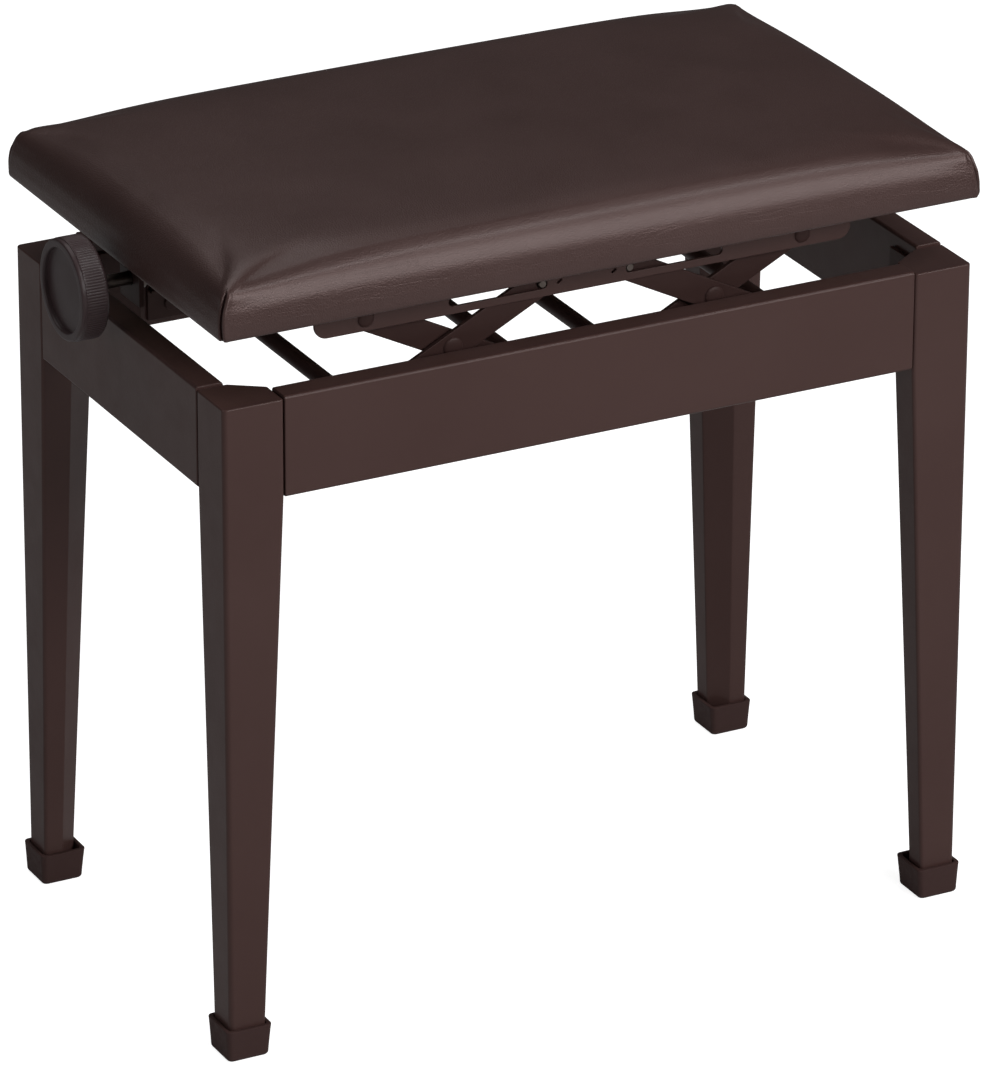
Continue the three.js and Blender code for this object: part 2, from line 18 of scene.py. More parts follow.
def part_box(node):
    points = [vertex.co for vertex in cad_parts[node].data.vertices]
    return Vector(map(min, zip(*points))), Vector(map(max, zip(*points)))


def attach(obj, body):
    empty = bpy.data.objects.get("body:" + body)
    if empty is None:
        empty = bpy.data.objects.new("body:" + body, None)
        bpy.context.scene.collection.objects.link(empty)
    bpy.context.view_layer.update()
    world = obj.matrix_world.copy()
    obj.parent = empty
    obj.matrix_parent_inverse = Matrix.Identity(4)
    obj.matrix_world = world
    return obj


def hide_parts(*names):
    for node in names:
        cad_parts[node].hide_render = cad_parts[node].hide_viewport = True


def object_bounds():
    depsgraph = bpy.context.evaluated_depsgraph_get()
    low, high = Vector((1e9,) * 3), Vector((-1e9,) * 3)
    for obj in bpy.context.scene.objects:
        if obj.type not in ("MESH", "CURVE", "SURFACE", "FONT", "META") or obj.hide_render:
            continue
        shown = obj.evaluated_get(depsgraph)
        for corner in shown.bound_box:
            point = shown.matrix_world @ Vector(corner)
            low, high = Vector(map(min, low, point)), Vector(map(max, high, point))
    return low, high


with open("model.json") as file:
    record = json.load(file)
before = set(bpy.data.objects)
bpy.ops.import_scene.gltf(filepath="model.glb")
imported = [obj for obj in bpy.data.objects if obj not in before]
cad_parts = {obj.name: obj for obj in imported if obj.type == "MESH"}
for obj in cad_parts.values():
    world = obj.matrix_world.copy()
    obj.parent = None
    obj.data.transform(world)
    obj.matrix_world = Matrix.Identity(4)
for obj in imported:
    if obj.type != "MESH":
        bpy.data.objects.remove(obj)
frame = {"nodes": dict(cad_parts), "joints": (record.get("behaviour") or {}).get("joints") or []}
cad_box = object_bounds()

MM = 0.001
CORNERS = [(side, end) for side in ("front", "back") for end in ("left", "right")]
TOWARDS = {"front": 1, "back": -1, "left": 1, "right": -1}  # the way to the bench's middle


def box(node):
    """The two corners of a CAD node, as arrays in metres."""
    low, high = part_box(node)
    return np.array(low), np.array(high)


def middle(node):
    """The middle of a CAD node's box."""
    return sum(box(node)) / 2


print("CAD box, mm:", [round(v / MM, 1) for corner in cad_box for v in corner])

# %% [markdown]
# ## Outlines
# Sheet-metal parts are outlines with rounded corners. An outline could be drawn by hand point by
# point, but a list of corners and a radius says the same thing and can be changed. Each corner
# becomes an arc that touches both of its sides.

# %% Outlines with round corners
def unit(v):
    return v / np.linalg.norm(v, axis=-1, keepdims=True)


def corner_frame(corners):
    """Each corner's two side directions, their bisector and half the angle between them."""
    p = np.asarray(corners, float)
    back, ahead = unit(np.roll(p, 1, 0) - p), unit(np.roll(p, -1, 0) - p)
    half = np.arccos(np.clip((back * ahead).sum(1), -1, 1))[:, None] / 2
    return p, back, ahead, unit(back + ahead), half


def inset(corners, depth):
    """A convex outline moved inwards: each corner goes depth / sin(half angle) along its bisector."""
    p, _, _, bisector, half = corner_frame(corners)
    return p + bisector * depth / np.sin(half)


def rounded(corners, radii, steps=5):
    """Arcs in place of corners: the centre is radius / sin(half angle) along the bisector, and the
    arc turns evenly from one touching point to the other."""
    p, back, ahead, bisector, half = corner_frame(corners)
    r = np.broadcast_to(radii, len(p)).astype(float)[:, None]
    centre = p + bisector * r / np.sin(half)
    first = (p + back * r / np.tan(half) - centre)[:, None]
    last = (p + ahead * r / np.tan(half) - centre)[:, None]
    sweep = (np.pi - 2 * half)[:, :, None]
    s = np.linspace(0, 1, steps + 1)[None, :, None]
    arc = (np.sin((1 - s) * sweep) * first + np.sin(s * sweep) * last) / np.sin(sweep)
    return (centre[:, None] + arc).reshape(-1, 2)


def ring(centre, radius, count=40):
    """A circle as an outline: centre + radius (cos t, sin t)."""
    t = np.linspace(0, 2 * np.pi, count, endpoint=False)
    return np.asarray(centre) + radius * np.stack([np.cos(t), np.sin(t)], 1)


def rectangle(low, high):
    (x0, y0), (x1, y1) = low, high
    return np.array([(x0, y0), (x1, y0), (x1, y1), (x0, y1)], float)


# %% [markdown]
# ## Skins
# A skin is a grid of points: rows of rings that follow each other. Two numbers find a point on it,
# the row and the place round the ring, so a whole tube, cap or turned part is one array. The ends
# are closed with one face each, or run into a point.

# %% Skins and pieces
def skin(rings, closed=True):
    """Points and faces of a grid of closed rings, with a face over each end unless it runs out."""
    rows, count = rings.shape[:2]
    r, c = np.meshgrid(np.arange(rows - 1), np.arange(count), indexing="ij")
    after = (c + 1) % count
    quads = np.stack([r * count + c, r * count + after, (r + 1) * count + after, (r + 1) * count + c], -1)
    ends = [list(range(count))[::-1], list(range((rows - 1) * count, rows * count))] if closed else []
    return rings.reshape(-1, 3), quads.reshape(-1, 4).tolist() + ends


ORDER = {"x": (2, 0, 1), "y": (0, 2, 1), "z": (0, 1, 2)}  # where a ring's two axes and its row go


def stacked(rings, along, axis):
    """Flat rings set at the positions `along` one axis. A ring's two axes are the other two, in order."""
    level = np.broadcast_to(np.asarray(along, float)[:, None, None], rings.shape[:2] + (1,))
    return np.concatenate([rings, level], -1)[..., ORDER[axis]]


def bar(corners, radii, start, end, axis, edge=0.6 * MM, steps=4):
    """An outline carried from start to end, drawn in at both ends by a quarter circle of radius
    edge: the inset is edge (1 - cos t) at edge (1 - sin t) from the end."""
    t = np.linspace(0, np.pi / 2, steps)
    depth = edge * (1 - np.sin(t))
    reach = edge * (1 - np.cos(t))
    insets = np.concatenate([depth, depth[::-1]])
    along = np.concatenate([start + reach, end - reach[::-1]])
    least = 0.15 * MM
    rows = [rounded(inset(corners, d), np.maximum(np.asarray(radii) - d, least), 6) for d in insets]
    return skin(stacked(np.array(rows), along, axis))


def turned(profile, centre, axis, count=48):
    """A profile of (radius, place along the axis) turned about the axis through centre."""
    profile = np.asarray(profile, float)
    t = np.linspace(0, 2 * np.pi, count, endpoint=False)
    circle = np.stack([np.cos(t), np.sin(t)], 1)
    rings = stacked(profile[:, :1, None] * circle[None], profile[:, 1], axis)
    return skin(rings + np.asarray(centre))


def joined(skins):
    """Several skins as one list of points and one of faces."""
    points, faces, start = [], [], 0
    for p, f in skins:
        points.append(p)
        faces += [[i + start for i in face] for face in f]
        start += len(p)
    return np.concatenate(points), faces


def piece(name, skins, finish, body, stands_for=(), crease=38):
    """A mesh from skins: doubles merged, faces turned outwards, creases kept at sharp angles."""
    points, faces = joined(skins)
    mesh = bpy.data.meshes.new(name)
    mesh.from_pydata(points, [], faces)
    return dressed(name, mesh, finish, body, stands_for, crease)


def dressed(name, mesh, finish, body, stands_for, crease=38, soft=False):
    """Cleans a mesh, gives it its finish, and sets it on its body in place of its CAD nodes."""
    work = bmesh.new()
    work.from_mesh(mesh)
    bmesh.ops.remove_doubles(work, verts=work.verts, dist=1e-6)
    bmesh.ops.recalc_face_normals(work, faces=work.faces)
    work.to_mesh(mesh)
    work.free()
    mesh.shade_smooth()
    mesh.set_sharp_from_angle(angle=math.radians(crease))
    mesh.materials.clear()
    mesh.materials.append(finish)
    made = bpy.data.objects.new(name, mesh)
    bpy.context.scene.collection.objects.link(made)
    if not soft:
        weighted = made.modifiers.new("flat faces stay flat", "WEIGHTED_NORMAL")
        weighted.keep_sharp, weighted.weight = True, 100
    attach(made, body)
    if stands_for:
        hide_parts(*stands_for)
    return made


def plate(name, outlines, place, thick, edge, finish, body, stands_for=()):
    """A flat sheet with holes: the outlines are filled, the sheet gets its thickness with round
    edges, and place, a matrix, takes the drawing to where the sheet is."""
    drawing = bpy.data.curves.new(name, "CURVE")
    drawing.dimensions, drawing.fill_mode = "2D", "BOTH"
    for outline in outlines:
        line = drawing.splines.new("POLY")
        line.points.add(len(outline) - 1)
        flat = np.concatenate([outline, np.zeros((len(outline), 1)), np.ones((len(outline), 1))], 1)
        line.points.foreach_set("co", flat.ravel())
        line.use_cyclic_u = True
    drawing.extrude, drawing.bevel_depth = thick / 2 - edge, edge
    drawing.offset, drawing.bevel_resolution = -edge, 2
    sketch = bpy.data.objects.new(name + "_drawing", drawing)
    bpy.context.scene.collection.objects.link(sketch)
    solid = sketch.evaluated_get(bpy.context.evaluated_depsgraph_get())
    mesh = bpy.data.meshes.new_from_object(solid)
    bpy.data.objects.remove(sketch)
    mesh.name = name
    mesh.transform(place)
    return dressed(name, mesh, finish, body, stands_for)


def upright(y, turn=0.0, x=0.0, z=0.0):
    """Stands a drawing up in the XZ plane at y, turned about its origin, which goes to (x, y, z)."""
    stand = Matrix(((1, 0, 0, 0), (0, 0, 1, 0), (0, 1, 0, 0), (0, 0, 0, 1)))
    return Matrix.Translation((x, y, z)) @ stand @ Matrix.Rotation(turn, 4, "Z")


def refined(node, finish, round_off):
    """A CAD node that keeps its shape: its edges are eased and it gets its finish."""
    kept = frame["nodes"][node]
    kept.data.materials.clear()
    kept.data.materials.append(finish)
    kept.modifiers.new("one skin", "WELD").merge_threshold = 1e-5
    eased = kept.modifiers.new("eased edges", "BEVEL")
    eased.width, eased.segments, eased.limit_method = round_off, 2, "ANGLE"
    eased.angle_limit = math.radians(35)
    eased.harden_normals = False
    kept.modifiers.new("flat faces stay flat", "WEIGHTED_NORMAL").weight = 100
    return kept


# %% [markdown]
# ## Finishes
# The steel is painted a warm black-brown, satin, with the faint orange peel of a baked coat. Flat
# colour would look like plastic, so each finish varies its colour and gloss with noise and lifts
# its surface with bump. Patterns read Object coordinates, in metres, because every piece's object
# sits at the origin.

# %% Material tools
def put(tree, kind, inputs=(), **settings):
    """Adds a node. An input is a number, a colour or another node's output to link."""
    node = tree.nodes.new(kind)
    for key, value in settings.items():
        setattr(node, key, value)
    for key, value in dict(inputs).items():
        if isinstance(value, bpy.types.NodeSocket):
            tree.links.new(value, node.inputs[key])
        else:
            node.inputs[key].default_value = value
    return node


def new_finish(name, **sockets):
    """A Principled material with its fixed values on the shader's own sockets."""
    material = bpy.data.materials.new(name)
    material.use_nodes = True
    tree = material.node_tree
    shader = tree.nodes["Principled BSDF"]
    for key, value in sockets.items():
        shader.inputs[key.replace("_", " ")].default_value = value
    place = put(tree, "ShaderNodeTexCoord").outputs["Object"]
    return material, tree, shader, place


def noise(tree, place, scale, detail=3, roughness=0.5, distortion=0.0):
    inputs = {"Vector": place, "Scale": scale, "Detail": detail, "Roughness": roughness,
              "Distortion": distortion}
    return put(tree, "ShaderNodeTexNoise", inputs).outputs["Fac"]


def spread(tree, factor, low, high, from_low=0.3, from_high=0.7):
    """A factor carried from one range to another."""
    inputs = {"Value": factor, "From Min": from_low, "From Max": from_high, "To Min": low, "To Max": high}
    return put(tree, "ShaderNodeMapRange", inputs).outputs["Result"]


def between(tree, factor, first, second):
    """A colour between two, by a factor."""
    ramp = put(tree, "ShaderNodeValToRGB", {"Fac": factor})
    ramp.color_ramp.elements[0].position, ramp.color_ramp.elements[1].position = 0.3, 0.7
    ramp.color_ramp.elements[0].color = (*first, 1)
    ramp.color_ramp.elements[1].color = (*second, 1)
    return ramp.outputs["Color"]


def bump(tree, height, distance, strength=1.0, under=None):
    inputs = {"Height": height, "Distance": distance, "Strength": strength}
    if under is not None:
        inputs["Normal"] = under
    return put(tree, "ShaderNodeBump", inputs).outputs["Normal"]


def stretched(tree, place, scale):
    """Coordinates drawn out along an axis, for rolling and brushing marks."""
    return put(tree, "ShaderNodeMapping", {"Vector": place, "Scale": scale}).outputs["Vector"]


def wire(tree, shader, colour=None, roughness=None, normal=None):
    for key, value in (("Base Color", colour), ("Roughness", roughness), ("Normal", normal)):
        if value is not None:
            tree.links.new(value, shader.inputs[key])


# %% [markdown]
# ### Painted steel
# Two paints share one recipe. The frame's coat is even and satin. The lift's parts are thin sheet
# painted over rolling marks, so theirs is darker and a little streaky along their length.

# %% Painted steel
def painted(name, dark, light, gloss, peel, coat, streaks=None):
    """Satin paint: cloudy colour, cloudy gloss, orange peel, and fine dust in the coat."""
    material, tree, shader, place = new_finish(name, Metallic=0.0, Coat_Weight=coat, Coat_Roughness=0.12)
    shader.inputs["Specular IOR Level"].default_value = 0.12
    shader.inputs["Specular Tint"].default_value = (1.0, 0.84, 0.80, 1)
    cloud = noise(tree, place, 9, 4, 0.55)
    colour = between(tree, cloud, dark, light)
    gloss_cloud = noise(tree, stretched(tree, place, streaks or (1, 1, 1)), 55, 3)
    roughness = spread(tree, gloss_cloud, gloss - 0.035, gloss + 0.045)
    orange_peel = bump(tree, noise(tree, place, 420, 2, 0.45), 0.00011, peel)
    dust = bump(tree, noise(tree, place, 2600, 1, 0.4), 0.00002, 0.5, orange_peel)
    wire(tree, shader, colour, roughness, dust)
    return material


frame_coat = painted("frame_brown_coat", (0.052, 0.0270, 0.0242), (0.058, 0.0312, 0.0280), 0.36, 0.30, 0.14)
lift_coat = painted("lift_brown_coat", (0.034, 0.0170, 0.0152), (0.043, 0.0228, 0.0206), 0.44, 0.45, 0.03,
                    (0.15, 1, 1))

# %% [markdown]
# ### Bare and moulded parts
# The screw and its nuts are plated steel darkened by oil, the knob is moulded plastic with a fine
# spark-eroded grain, and the feet are rubber with dust in their pores. Each gets noise at the size
# of its own texture.

# %% Zinc, plastic, rubber
def zinc_plate():
    """Oiled plating: a dark metal with cloudy patches and fine turning marks across its length."""
    material, tree, shader, place = new_finish("zinc_plate", Metallic=1.0)
    cloud = noise(tree, place, 70, 4, 0.6)
    colour = between(tree, cloud, (0.085, 0.068, 0.060), (0.15, 0.125, 0.112))
    marks = noise(tree, stretched(tree, place, (30, 1, 1)), 160, 3)
    wire(tree, shader, colour, spread(tree, cloud, 0.30, 0.46), bump(tree, marks, 0.00004, 0.5))
    return material


def moulded_plastic():
    """Dark plastic: spark-eroded grain as fine cells, and a slight sheen from hands."""
    material, tree, shader, place = new_finish("knob_black_brown", Coat_Weight=0.08, Coat_Roughness=0.12)
    shader.inputs["Specular IOR Level"].default_value = 0.2
    cloud = noise(tree, place, 45, 3)
    colour = between(tree, cloud, (0.035, 0.0215, 0.0225), (0.041, 0.0258, 0.0268))
    grain = bump(tree, noise(tree, place, 1900, 2, 0.6), 0.00005, 0.6)
    wire(tree, shader, colour, spread(tree, cloud, 0.36, 0.46), grain)
    return material


def foot_rubber():
    """Soft moulded vinyl: matt, faintly pitted, paler where it has scuffed near the floor."""
    material, tree, shader, place = new_finish("foot_brown_rubber")
    shader.inputs["Specular IOR Level"].default_value = 0.16
    height = put(tree, "ShaderNodeSeparateXYZ", {"Vector": place}).outputs["Z"]
    scuffed = spread(tree, height, 1.0, 0.0, 0.0, 0.006)
    patches = noise(tree, place, 260, 4, 0.65)
    scuff = put(tree, "ShaderNodeMath", {0: scuffed, 1: patches}, operation="MULTIPLY").outputs[0]
    colour = between(tree, scuff, (0.044, 0.0225, 0.0205), (0.062, 0.041, 0.038))
    pits = bump(tree, noise(tree, place, 1400, 3, 0.6), 0.00007, 0.6)
    wire(tree, shader, colour, spread(tree, patches, 0.5, 0.64), pits)
    return material


plated, knob_plastic, rubber = zinc_plate(), moulded_plastic(), foot_rubber()

# %% [markdown]
# ### Plywood
# The seat board shows only from below. Its face veneer is noise drawn out along the grain, with
# darker pores, and its edge shows three plies as bands across its thickness.

# %% Plywood
def plywood():
    """Veneer: a slow drift of tone, grain lines drawn out along X, and bands by height for plies."""
    material, tree, shader, place = new_finish("seat_plywood")
    shader.inputs["Specular IOR Level"].default_value = 0.3
    lines = noise(tree, stretched(tree, place, (1.2, 34, 34)), 6, 6, 0.62, 0.6)
    veneer = between(tree, lines, (0.23, 0.135, 0.068), (0.42, 0.285, 0.165))
    height = put(tree, "ShaderNodeSeparateXYZ", {"Vector": place}).outputs["Z"]
    steps = put(tree, "ShaderNodeMath", {0: height, 1: 2 * np.pi / (4 * MM)}, operation="MULTIPLY")
    plies = put(tree, "ShaderNodeMath", {0: steps.outputs[0]}, operation="SINE").outputs[0]
    shade = spread(tree, plies, 0.55, 1.0, -0.2, 0.2)
    dimmed = put(tree, "ShaderNodeMix", {0: 1.0}, data_type="RGBA", blend_type="MULTIPLY")
    tree.links.new(veneer, dimmed.inputs[6])
    tree.links.new(shade, dimmed.inputs[7])
    wire(tree, shader, dimmed.outputs[2], spread(tree, lines, 0.62, 0.8), bump(tree, lines, 0.00012, 0.6))
    return material


board_wood = plywood()

# %% [markdown]
# ### Leather cloth
# The cover is grained vinyl leather cloth. Real grain is a net of fine valleys round pebbles of
# about a millimetre, so a Voronoi pattern bent by noise gives the net, a finer noise roughens the
# pebbles, and a slow noise makes the gloss uneven, as handled leather is.

# %% Leather cloth
def leather_cloth():
    """Grain: the distance to a bent Voronoi cell's edge as height, finer noise on it, and soft,
    long ripples where the cloth is drawn over the foam. Below the crown, fine level creases run
    where a long-drawn noise crosses its middle value."""
    material, tree, shader, place = new_finish("seat_leather_cloth", Coat_Weight=0.10, Coat_Roughness=0.2)
    shader.inputs["Specular IOR Level"].default_value = 0.42
    shader.inputs["Specular Tint"].default_value = (1.0, 0.76, 0.73, 1)
    push = put(tree, "ShaderNodeTexNoise", {"Vector": place, "Scale": 300, "Detail": 2}).outputs["Color"]
    bent = put(tree, "ShaderNodeVectorMath", {0: push, "Scale": 0.0011}, operation="SCALE").outputs[0]
    moved = put(tree, "ShaderNodeVectorMath", {0: place, 1: bent}, operation="ADD").outputs[0]
    cells = put(tree, "ShaderNodeTexVoronoi", {"Vector": moved, "Scale": 620, "Randomness": 1.0},
                feature="DISTANCE_TO_EDGE").outputs["Distance"]
    pebbles = spread(tree, cells, 0.0, 1.0, 0.02, 0.30)
    cloud = noise(tree, place, 14, 4, 0.55)
    colour = between(tree, cloud, (0.0355, 0.0178, 0.0158), (0.0410, 0.0214, 0.0193))
    even_gloss = spread(tree, cloud, 0.33, 0.41)
    valley_gloss = spread(tree, pebbles, 0.06, 0.0, 0, 1)
    gloss = put(tree, "ShaderNodeMath", {0: even_gloss, 1: valley_gloss}, operation="ADD").outputs[0]
    ripple = bump(tree, noise(tree, stretched(tree, place, (1, 2.2, 2.2)), 26, 2, 0.4), 0.0008, 0.25)
    lines = noise(tree, stretched(tree, place, (16, 110, 110)), 1, 2)
    offset = put(tree, "ShaderNodeMath", {0: lines, 1: 0.5}, operation="SUBTRACT").outputs[0]
    crease = put(tree, "ShaderNodeMath", {0: offset}, operation="ABSOLUTE").outputs[0]
    tall = put(tree, "ShaderNodeSeparateXYZ", {"Vector": place}).outputs["Z"]
    seat_top = box("seat_pad")[1][2]
    crown = spread(tree, tall, 0.0, 1.0, seat_top - 13 * MM, seat_top - 8 * MM)
    patches = spread(tree, noise(tree, place, 24, 2), 1.0, 0.0, 0.50, 0.60)
    smooth = put(tree, "ShaderNodeMath", {0: patches, 1: crown}, operation="MAXIMUM").outputs[0]
    valley = spread(tree, crease, 0.0, 1.0, 0.0, 0.03)
    drawn = put(tree, "ShaderNodeMath", {0: valley, 1: smooth}, operation="MAXIMUM").outputs[0]
    net = bump(tree, pebbles, 0.00012, 0.55, bump(tree, drawn, 0.0003, 0.22, ripple))
    fine = bump(tree, noise(tree, place, 2400, 2, 0.5), 0.00003, 0.5, net)
    wire(tree, shader, colour, gloss, fine)
    return material


leather = leather_cloth()
print("finishes:", ", ".join(sorted(m.name for m in bpy.data.materials if m.users == 0)))

# %% [markdown]
# ## Legs
# A leg is pressed from sheet and welded: two square outer sides that stay upright, two inner sides
# that taper from the rail down, and a chamfer across the inner corner. Its top is closed by a flat
# five-sided plate. One outline at several heights gives all of it, and the top edge is drawn in by a
# quarter circle so that it catches light as a real edge does.

# %% Legs
FOOT_WIDTH = 22 * MM  # a leg's section at the floor end
CHAMFER = (0.5, 0.62)  # where the inner chamfer starts, as shares of the section
LEG_RADII = np.array([3.0, 2.2, 1.8, 1.8, 2.2]) * MM
rail_low = box("rail_front")[0]


def leg_outline(width, depth):
    """The five corners of a leg's section, from its outer corner, along X and then along Y."""
    u, v = CHAMFER
    return np.array([(0, 0), (width, 0), (width, v * depth), (u * width, depth), (0, depth)])


def leg_skin(side, end):
    """The section grows from foot to rail in a straight line and is constant above. At the top its
    inset is e (1 - cos t) at e (1 - sin t) below the plate."""
    low, high = box(f"leg_{side}_{end}")
    width, depth = (high - low)[:2]
    edge = 0.9 * MM
    t = np.linspace(0, np.pi / 2, 5)
    heights = np.concatenate([[low[2], rail_low[2]], high[2] - edge * (1 - np.sin(t))])
    share = np.minimum((heights - low[2]) / (rail_low[2] - low[2]), 1)
    insets = np.concatenate([[0, 0], edge * (1 - np.cos(t))])
    rings = [rounded(inset(leg_outline(FOOT_WIDTH + (width - FOOT_WIDTH) * s,
                                       FOOT_WIDTH + (depth - FOOT_WIDTH) * s), d), LEG_RADII - d, 6)
             for s, d in zip(share, insets)]
    rings = stacked(np.array(rings), heights, "z")
    corner = [low[0] if end == "left" else high[0], low[1] if side == "front" else high[1], 0]
    return skin(rings * (TOWARDS[end], TOWARDS[side], 1) + corner)


for side, end in CORNERS:
    leg = f"{side}_{end}"
    piece("tapered_leg_" + leg, [leg_skin(side, end)], frame_coat, "frame", ["leg_" + leg])
leg_low, leg_high = box("leg_front_left")
print("leg section at the rails, mm:", np.round((leg_high - leg_low) / MM, 1))

# %% [markdown]
# ## Rails
# The rails are upright box tubes with small corner radii. Their rounded top edges stand just above
# the legs and draw the bright line along the bench, so the radius matters more than the wall.

# %% Rails
def rail_bar(node):
    """A rounded rectangle carried along the box's longer side, with eased ends."""
    low, high = box(node)
    axis = "x" if high[0] - low[0] > high[1] - low[1] else "y"
    across = (1, 2) if axis == "x" else (0, 2)
    corners = rectangle(low[list(across)], high[list(across)])
    along = 0 if axis == "x" else 1
    return bar(corners, [2.0 * MM] * 4, low[along], high[along], axis, 0.7 * MM)


for where in ("front", "back", "left", "right"):
    piece("box_rail_" + where, [rail_bar("rail_" + where)], frame_coat, "frame", ["rail_" + where])

# %% [markdown]
# ## Feet
# A foot is a square rubber cup that flares to a thin open rim. It is a stack of rings too: from the
# floor out round the bottom edge, up the flared wall, over the rim and down inside to the floor of
# the cup, where the leg stands.

# %% Feet
CUP_GAP = 0.3 * MM  # between the leg and the cup
CUP_WALL = 1.8 * MM
CUP_FLARE = 0.9 * MM


def foot_skin(side, end):
    """Rings of a rounded square that follows the leg's taper, each with its own outward offset."""
    low, high = box(f"foot_cap_{side}_{end}")
    leg_low, leg_high = box(f"leg_{side}_{end}")
    full = (leg_high - leg_low)[:2]
    tall = high[2]
    outer = CUP_GAP + CUP_WALL
    t = np.linspace(0, np.pi / 2, 6)
    bottom = 2.2 * MM
    z = np.concatenate([bottom * (1 - np.sin(t[::-1])),
                        [6 * MM, 12 * MM, tall - 1.6 * MM, tall - 0.9 * MM, tall - 0.25 * MM, tall, tall,
                         tall - 0.4 * MM, tall - 2 * MM, leg_low[2] - CUP_GAP]])
    lip = outer + CUP_FLARE
    out = np.concatenate([outer - bottom * (1 - np.cos(t[::-1])),
                          [outer + 0.15 * MM, outer + 0.45 * MM, lip - 0.1 * MM, lip, lip - 0.1 * MM,
                           lip - 0.55 * MM, CUP_GAP + 0.7 * MM, CUP_GAP + 0.2 * MM, CUP_GAP, CUP_GAP]])
    share = np.clip((z - leg_low[2]) / (rail_low[2] - leg_low[2]), 0, 1)
    rings = []
    for s, d in zip(share, out):
        w, h = FOOT_WIDTH + (full - FOOT_WIDTH) * s
        rings.append(rounded(rectangle((-d, -d), (w + d, h + d)), [max(2.4 * MM + 0.3 * d, 1.2 * MM)] * 4, 6))
    rings = stacked(np.array(rings), z, "z")
    corner = [leg_low[0] if end == "left" else leg_high[0],
              leg_low[1] if side == "front" else leg_high[1], 0]
    return skin(rings * (TOWARDS[end], TOWARDS[side], 1) + corner)


for side, end in CORNERS:
    foot = f"{side}_{end}"
    piece("flared_foot_" + foot, [foot_skin(side, end)], rubber, "frame", ["foot_cap_" + foot],
          50)
foot_low, foot_high = box("foot_cap_front_left")
print("feet:", np.round((foot_high - foot_low) / MM, 1), "mm")

# %% [markdown]
# ## Brackets, tracks and plates
# These are folded from flat sheet, and the CAD already has their shape. Keeping the node and easing
# its sharp edges with a small bevel is enough: a folded sheet has no other roundness.

# %% Folded sheet parts
for side, end in CORNERS:
    refined(f"corner_bracket_{side}_{end}", lift_coat, 0.5 * MM)
    refined(f"corner_bolt_{side}_{end}", plated, 0.4 * MM)
for side in ("front", "back"):
    refined("base_track_" + side, lift_coat, 0.4 * MM)
for end in ("left", "right"):
    refined("seat_strap_" + end, lift_coat, 0.4 * MM)
    refined("screw_bearing_" + end, lift_coat, 0.5 * MM)
refined("seat_middle_plate", lift_coat, 0.4 * MM)
refined("seat_board", board_wood, 0.8 * MM)

# %% [markdown]
# ## Bars, pins and rivets
# Every round part is a profile turned about its own axis: a bar has chamfered ends and a groove for
# its clip, a rivet has two domed heads, and a pivot pin has a head at each end and a shoulder that
# keeps the arm off the rail.

# %% Turned parts of the lift
def bar_profile(radius, start, end):
    """Straight, with 1 mm chamfers and a shallow clip groove 3 mm from each end."""
    c, g = 1.0 * MM, 0.6 * MM
    half = [(0, 0), (radius - c, 0), (radius, c), (radius, 3 * MM), (radius - g, 3 * MM),
            (radius - g, 4.2 * MM), (radius, 4.2 * MM)]
    first = np.array(half) + (0, start)
    last = (np.array(half) * (1, -1) + (0, end))[::-1]
    return np.concatenate([first, last])


def dome(radius, base, rise, steps=6):
    """A shallow head: radius cos t at base + rise sin t, from a short upright edge to the axis."""
    t = np.linspace(0, np.pi / 2, steps)
    return np.stack([radius * np.cos(t), base + rise * np.sin(t)], 1)


for end in ("left", "right"):
    for kind, body in (("pivot_bar_", "frame"), ("slide_bar_", end + "_inner_arms")):
        low, high = box(kind + end)
        centre = middle(kind + end) * (1, 0, 1)
        profile = bar_profile((high[2] - low[2]) / 2, low[1], high[1])
        name = kind.replace("bar_", "rod_") + end
        piece(name, [turned(profile, centre, "y")], lift_coat, body, [kind + end])


def stud_profile(node, shank, heads, shoulder=None):
    """From the inner head's dome to the outer one's, along Y, towards the outside of the bench."""
    low, high = box(node)
    inner, outer = sorted((abs(low[1]), abs(high[1])))
    rise = heads[1]
    head = dome(heads[0], 0, rise)[::-1]
    first = head * (1, -1) + (0, inner + rise)
    last = head[::-1] + (0, outer - rise)
    between_heads = [(shank, inner + rise), (shank, outer - rise)]
    if shoulder:
        radius, start, stop = shoulder
        between_heads[1:1] = [(shank, start), (radius, start), (radius, stop), (shank, stop)]
    return np.concatenate([first, between_heads, last])


web_high = box("seat_rail_back")[1]
arm_high = box("inner_arm_back_left")[1]
for side, end in CORNERS:
    where = f"{side}_{end}"
    out = -TOWARDS[side]
    rivet, pin = "crossing_rivet_" + where, "seat_pivot_pin_" + where
    profile = stud_profile(rivet, 3 * MM, (6 * MM, 1.5 * MM)) * (1, out)
    piece("domed_rivet_" + where, [turned(profile, middle(rivet) * (1, 0, 1), "y")], lift_coat,
          end + "_outer_arms", [rivet])
    shoulder = (4.5 * MM, arm_high[1] + 0.3 * MM, web_high[1] - 2.3 * MM)
    profile = stud_profile(pin, 3 * MM, (5 * MM, 1.5 * MM), shoulder) * (1, out)
    piece("pivot_stud_" + where, [turned(profile, middle(pin) * (1, 0, 1), "y")], lift_coat,
          "seat", [pin])

# %% [markdown]
# ## Scissor arms
# An arm is a flat strip with round ends and three holes. It runs between two pivots, so its angle
# and length come from the middles of the bars, nuts and pins it hangs on.

# %% Scissor arms
def slot_outline(first, last, radius, steps=14):
    """Two half circles joined by straight sides: the outline of a strip or of a slot along X."""
    t = np.linspace(np.pi / 2, 1.5 * np.pi, steps)
    half = radius * np.stack([np.cos(t), np.sin(t)], 1)
    return np.concatenate([half + (first, 0), -half + (last, 0)])


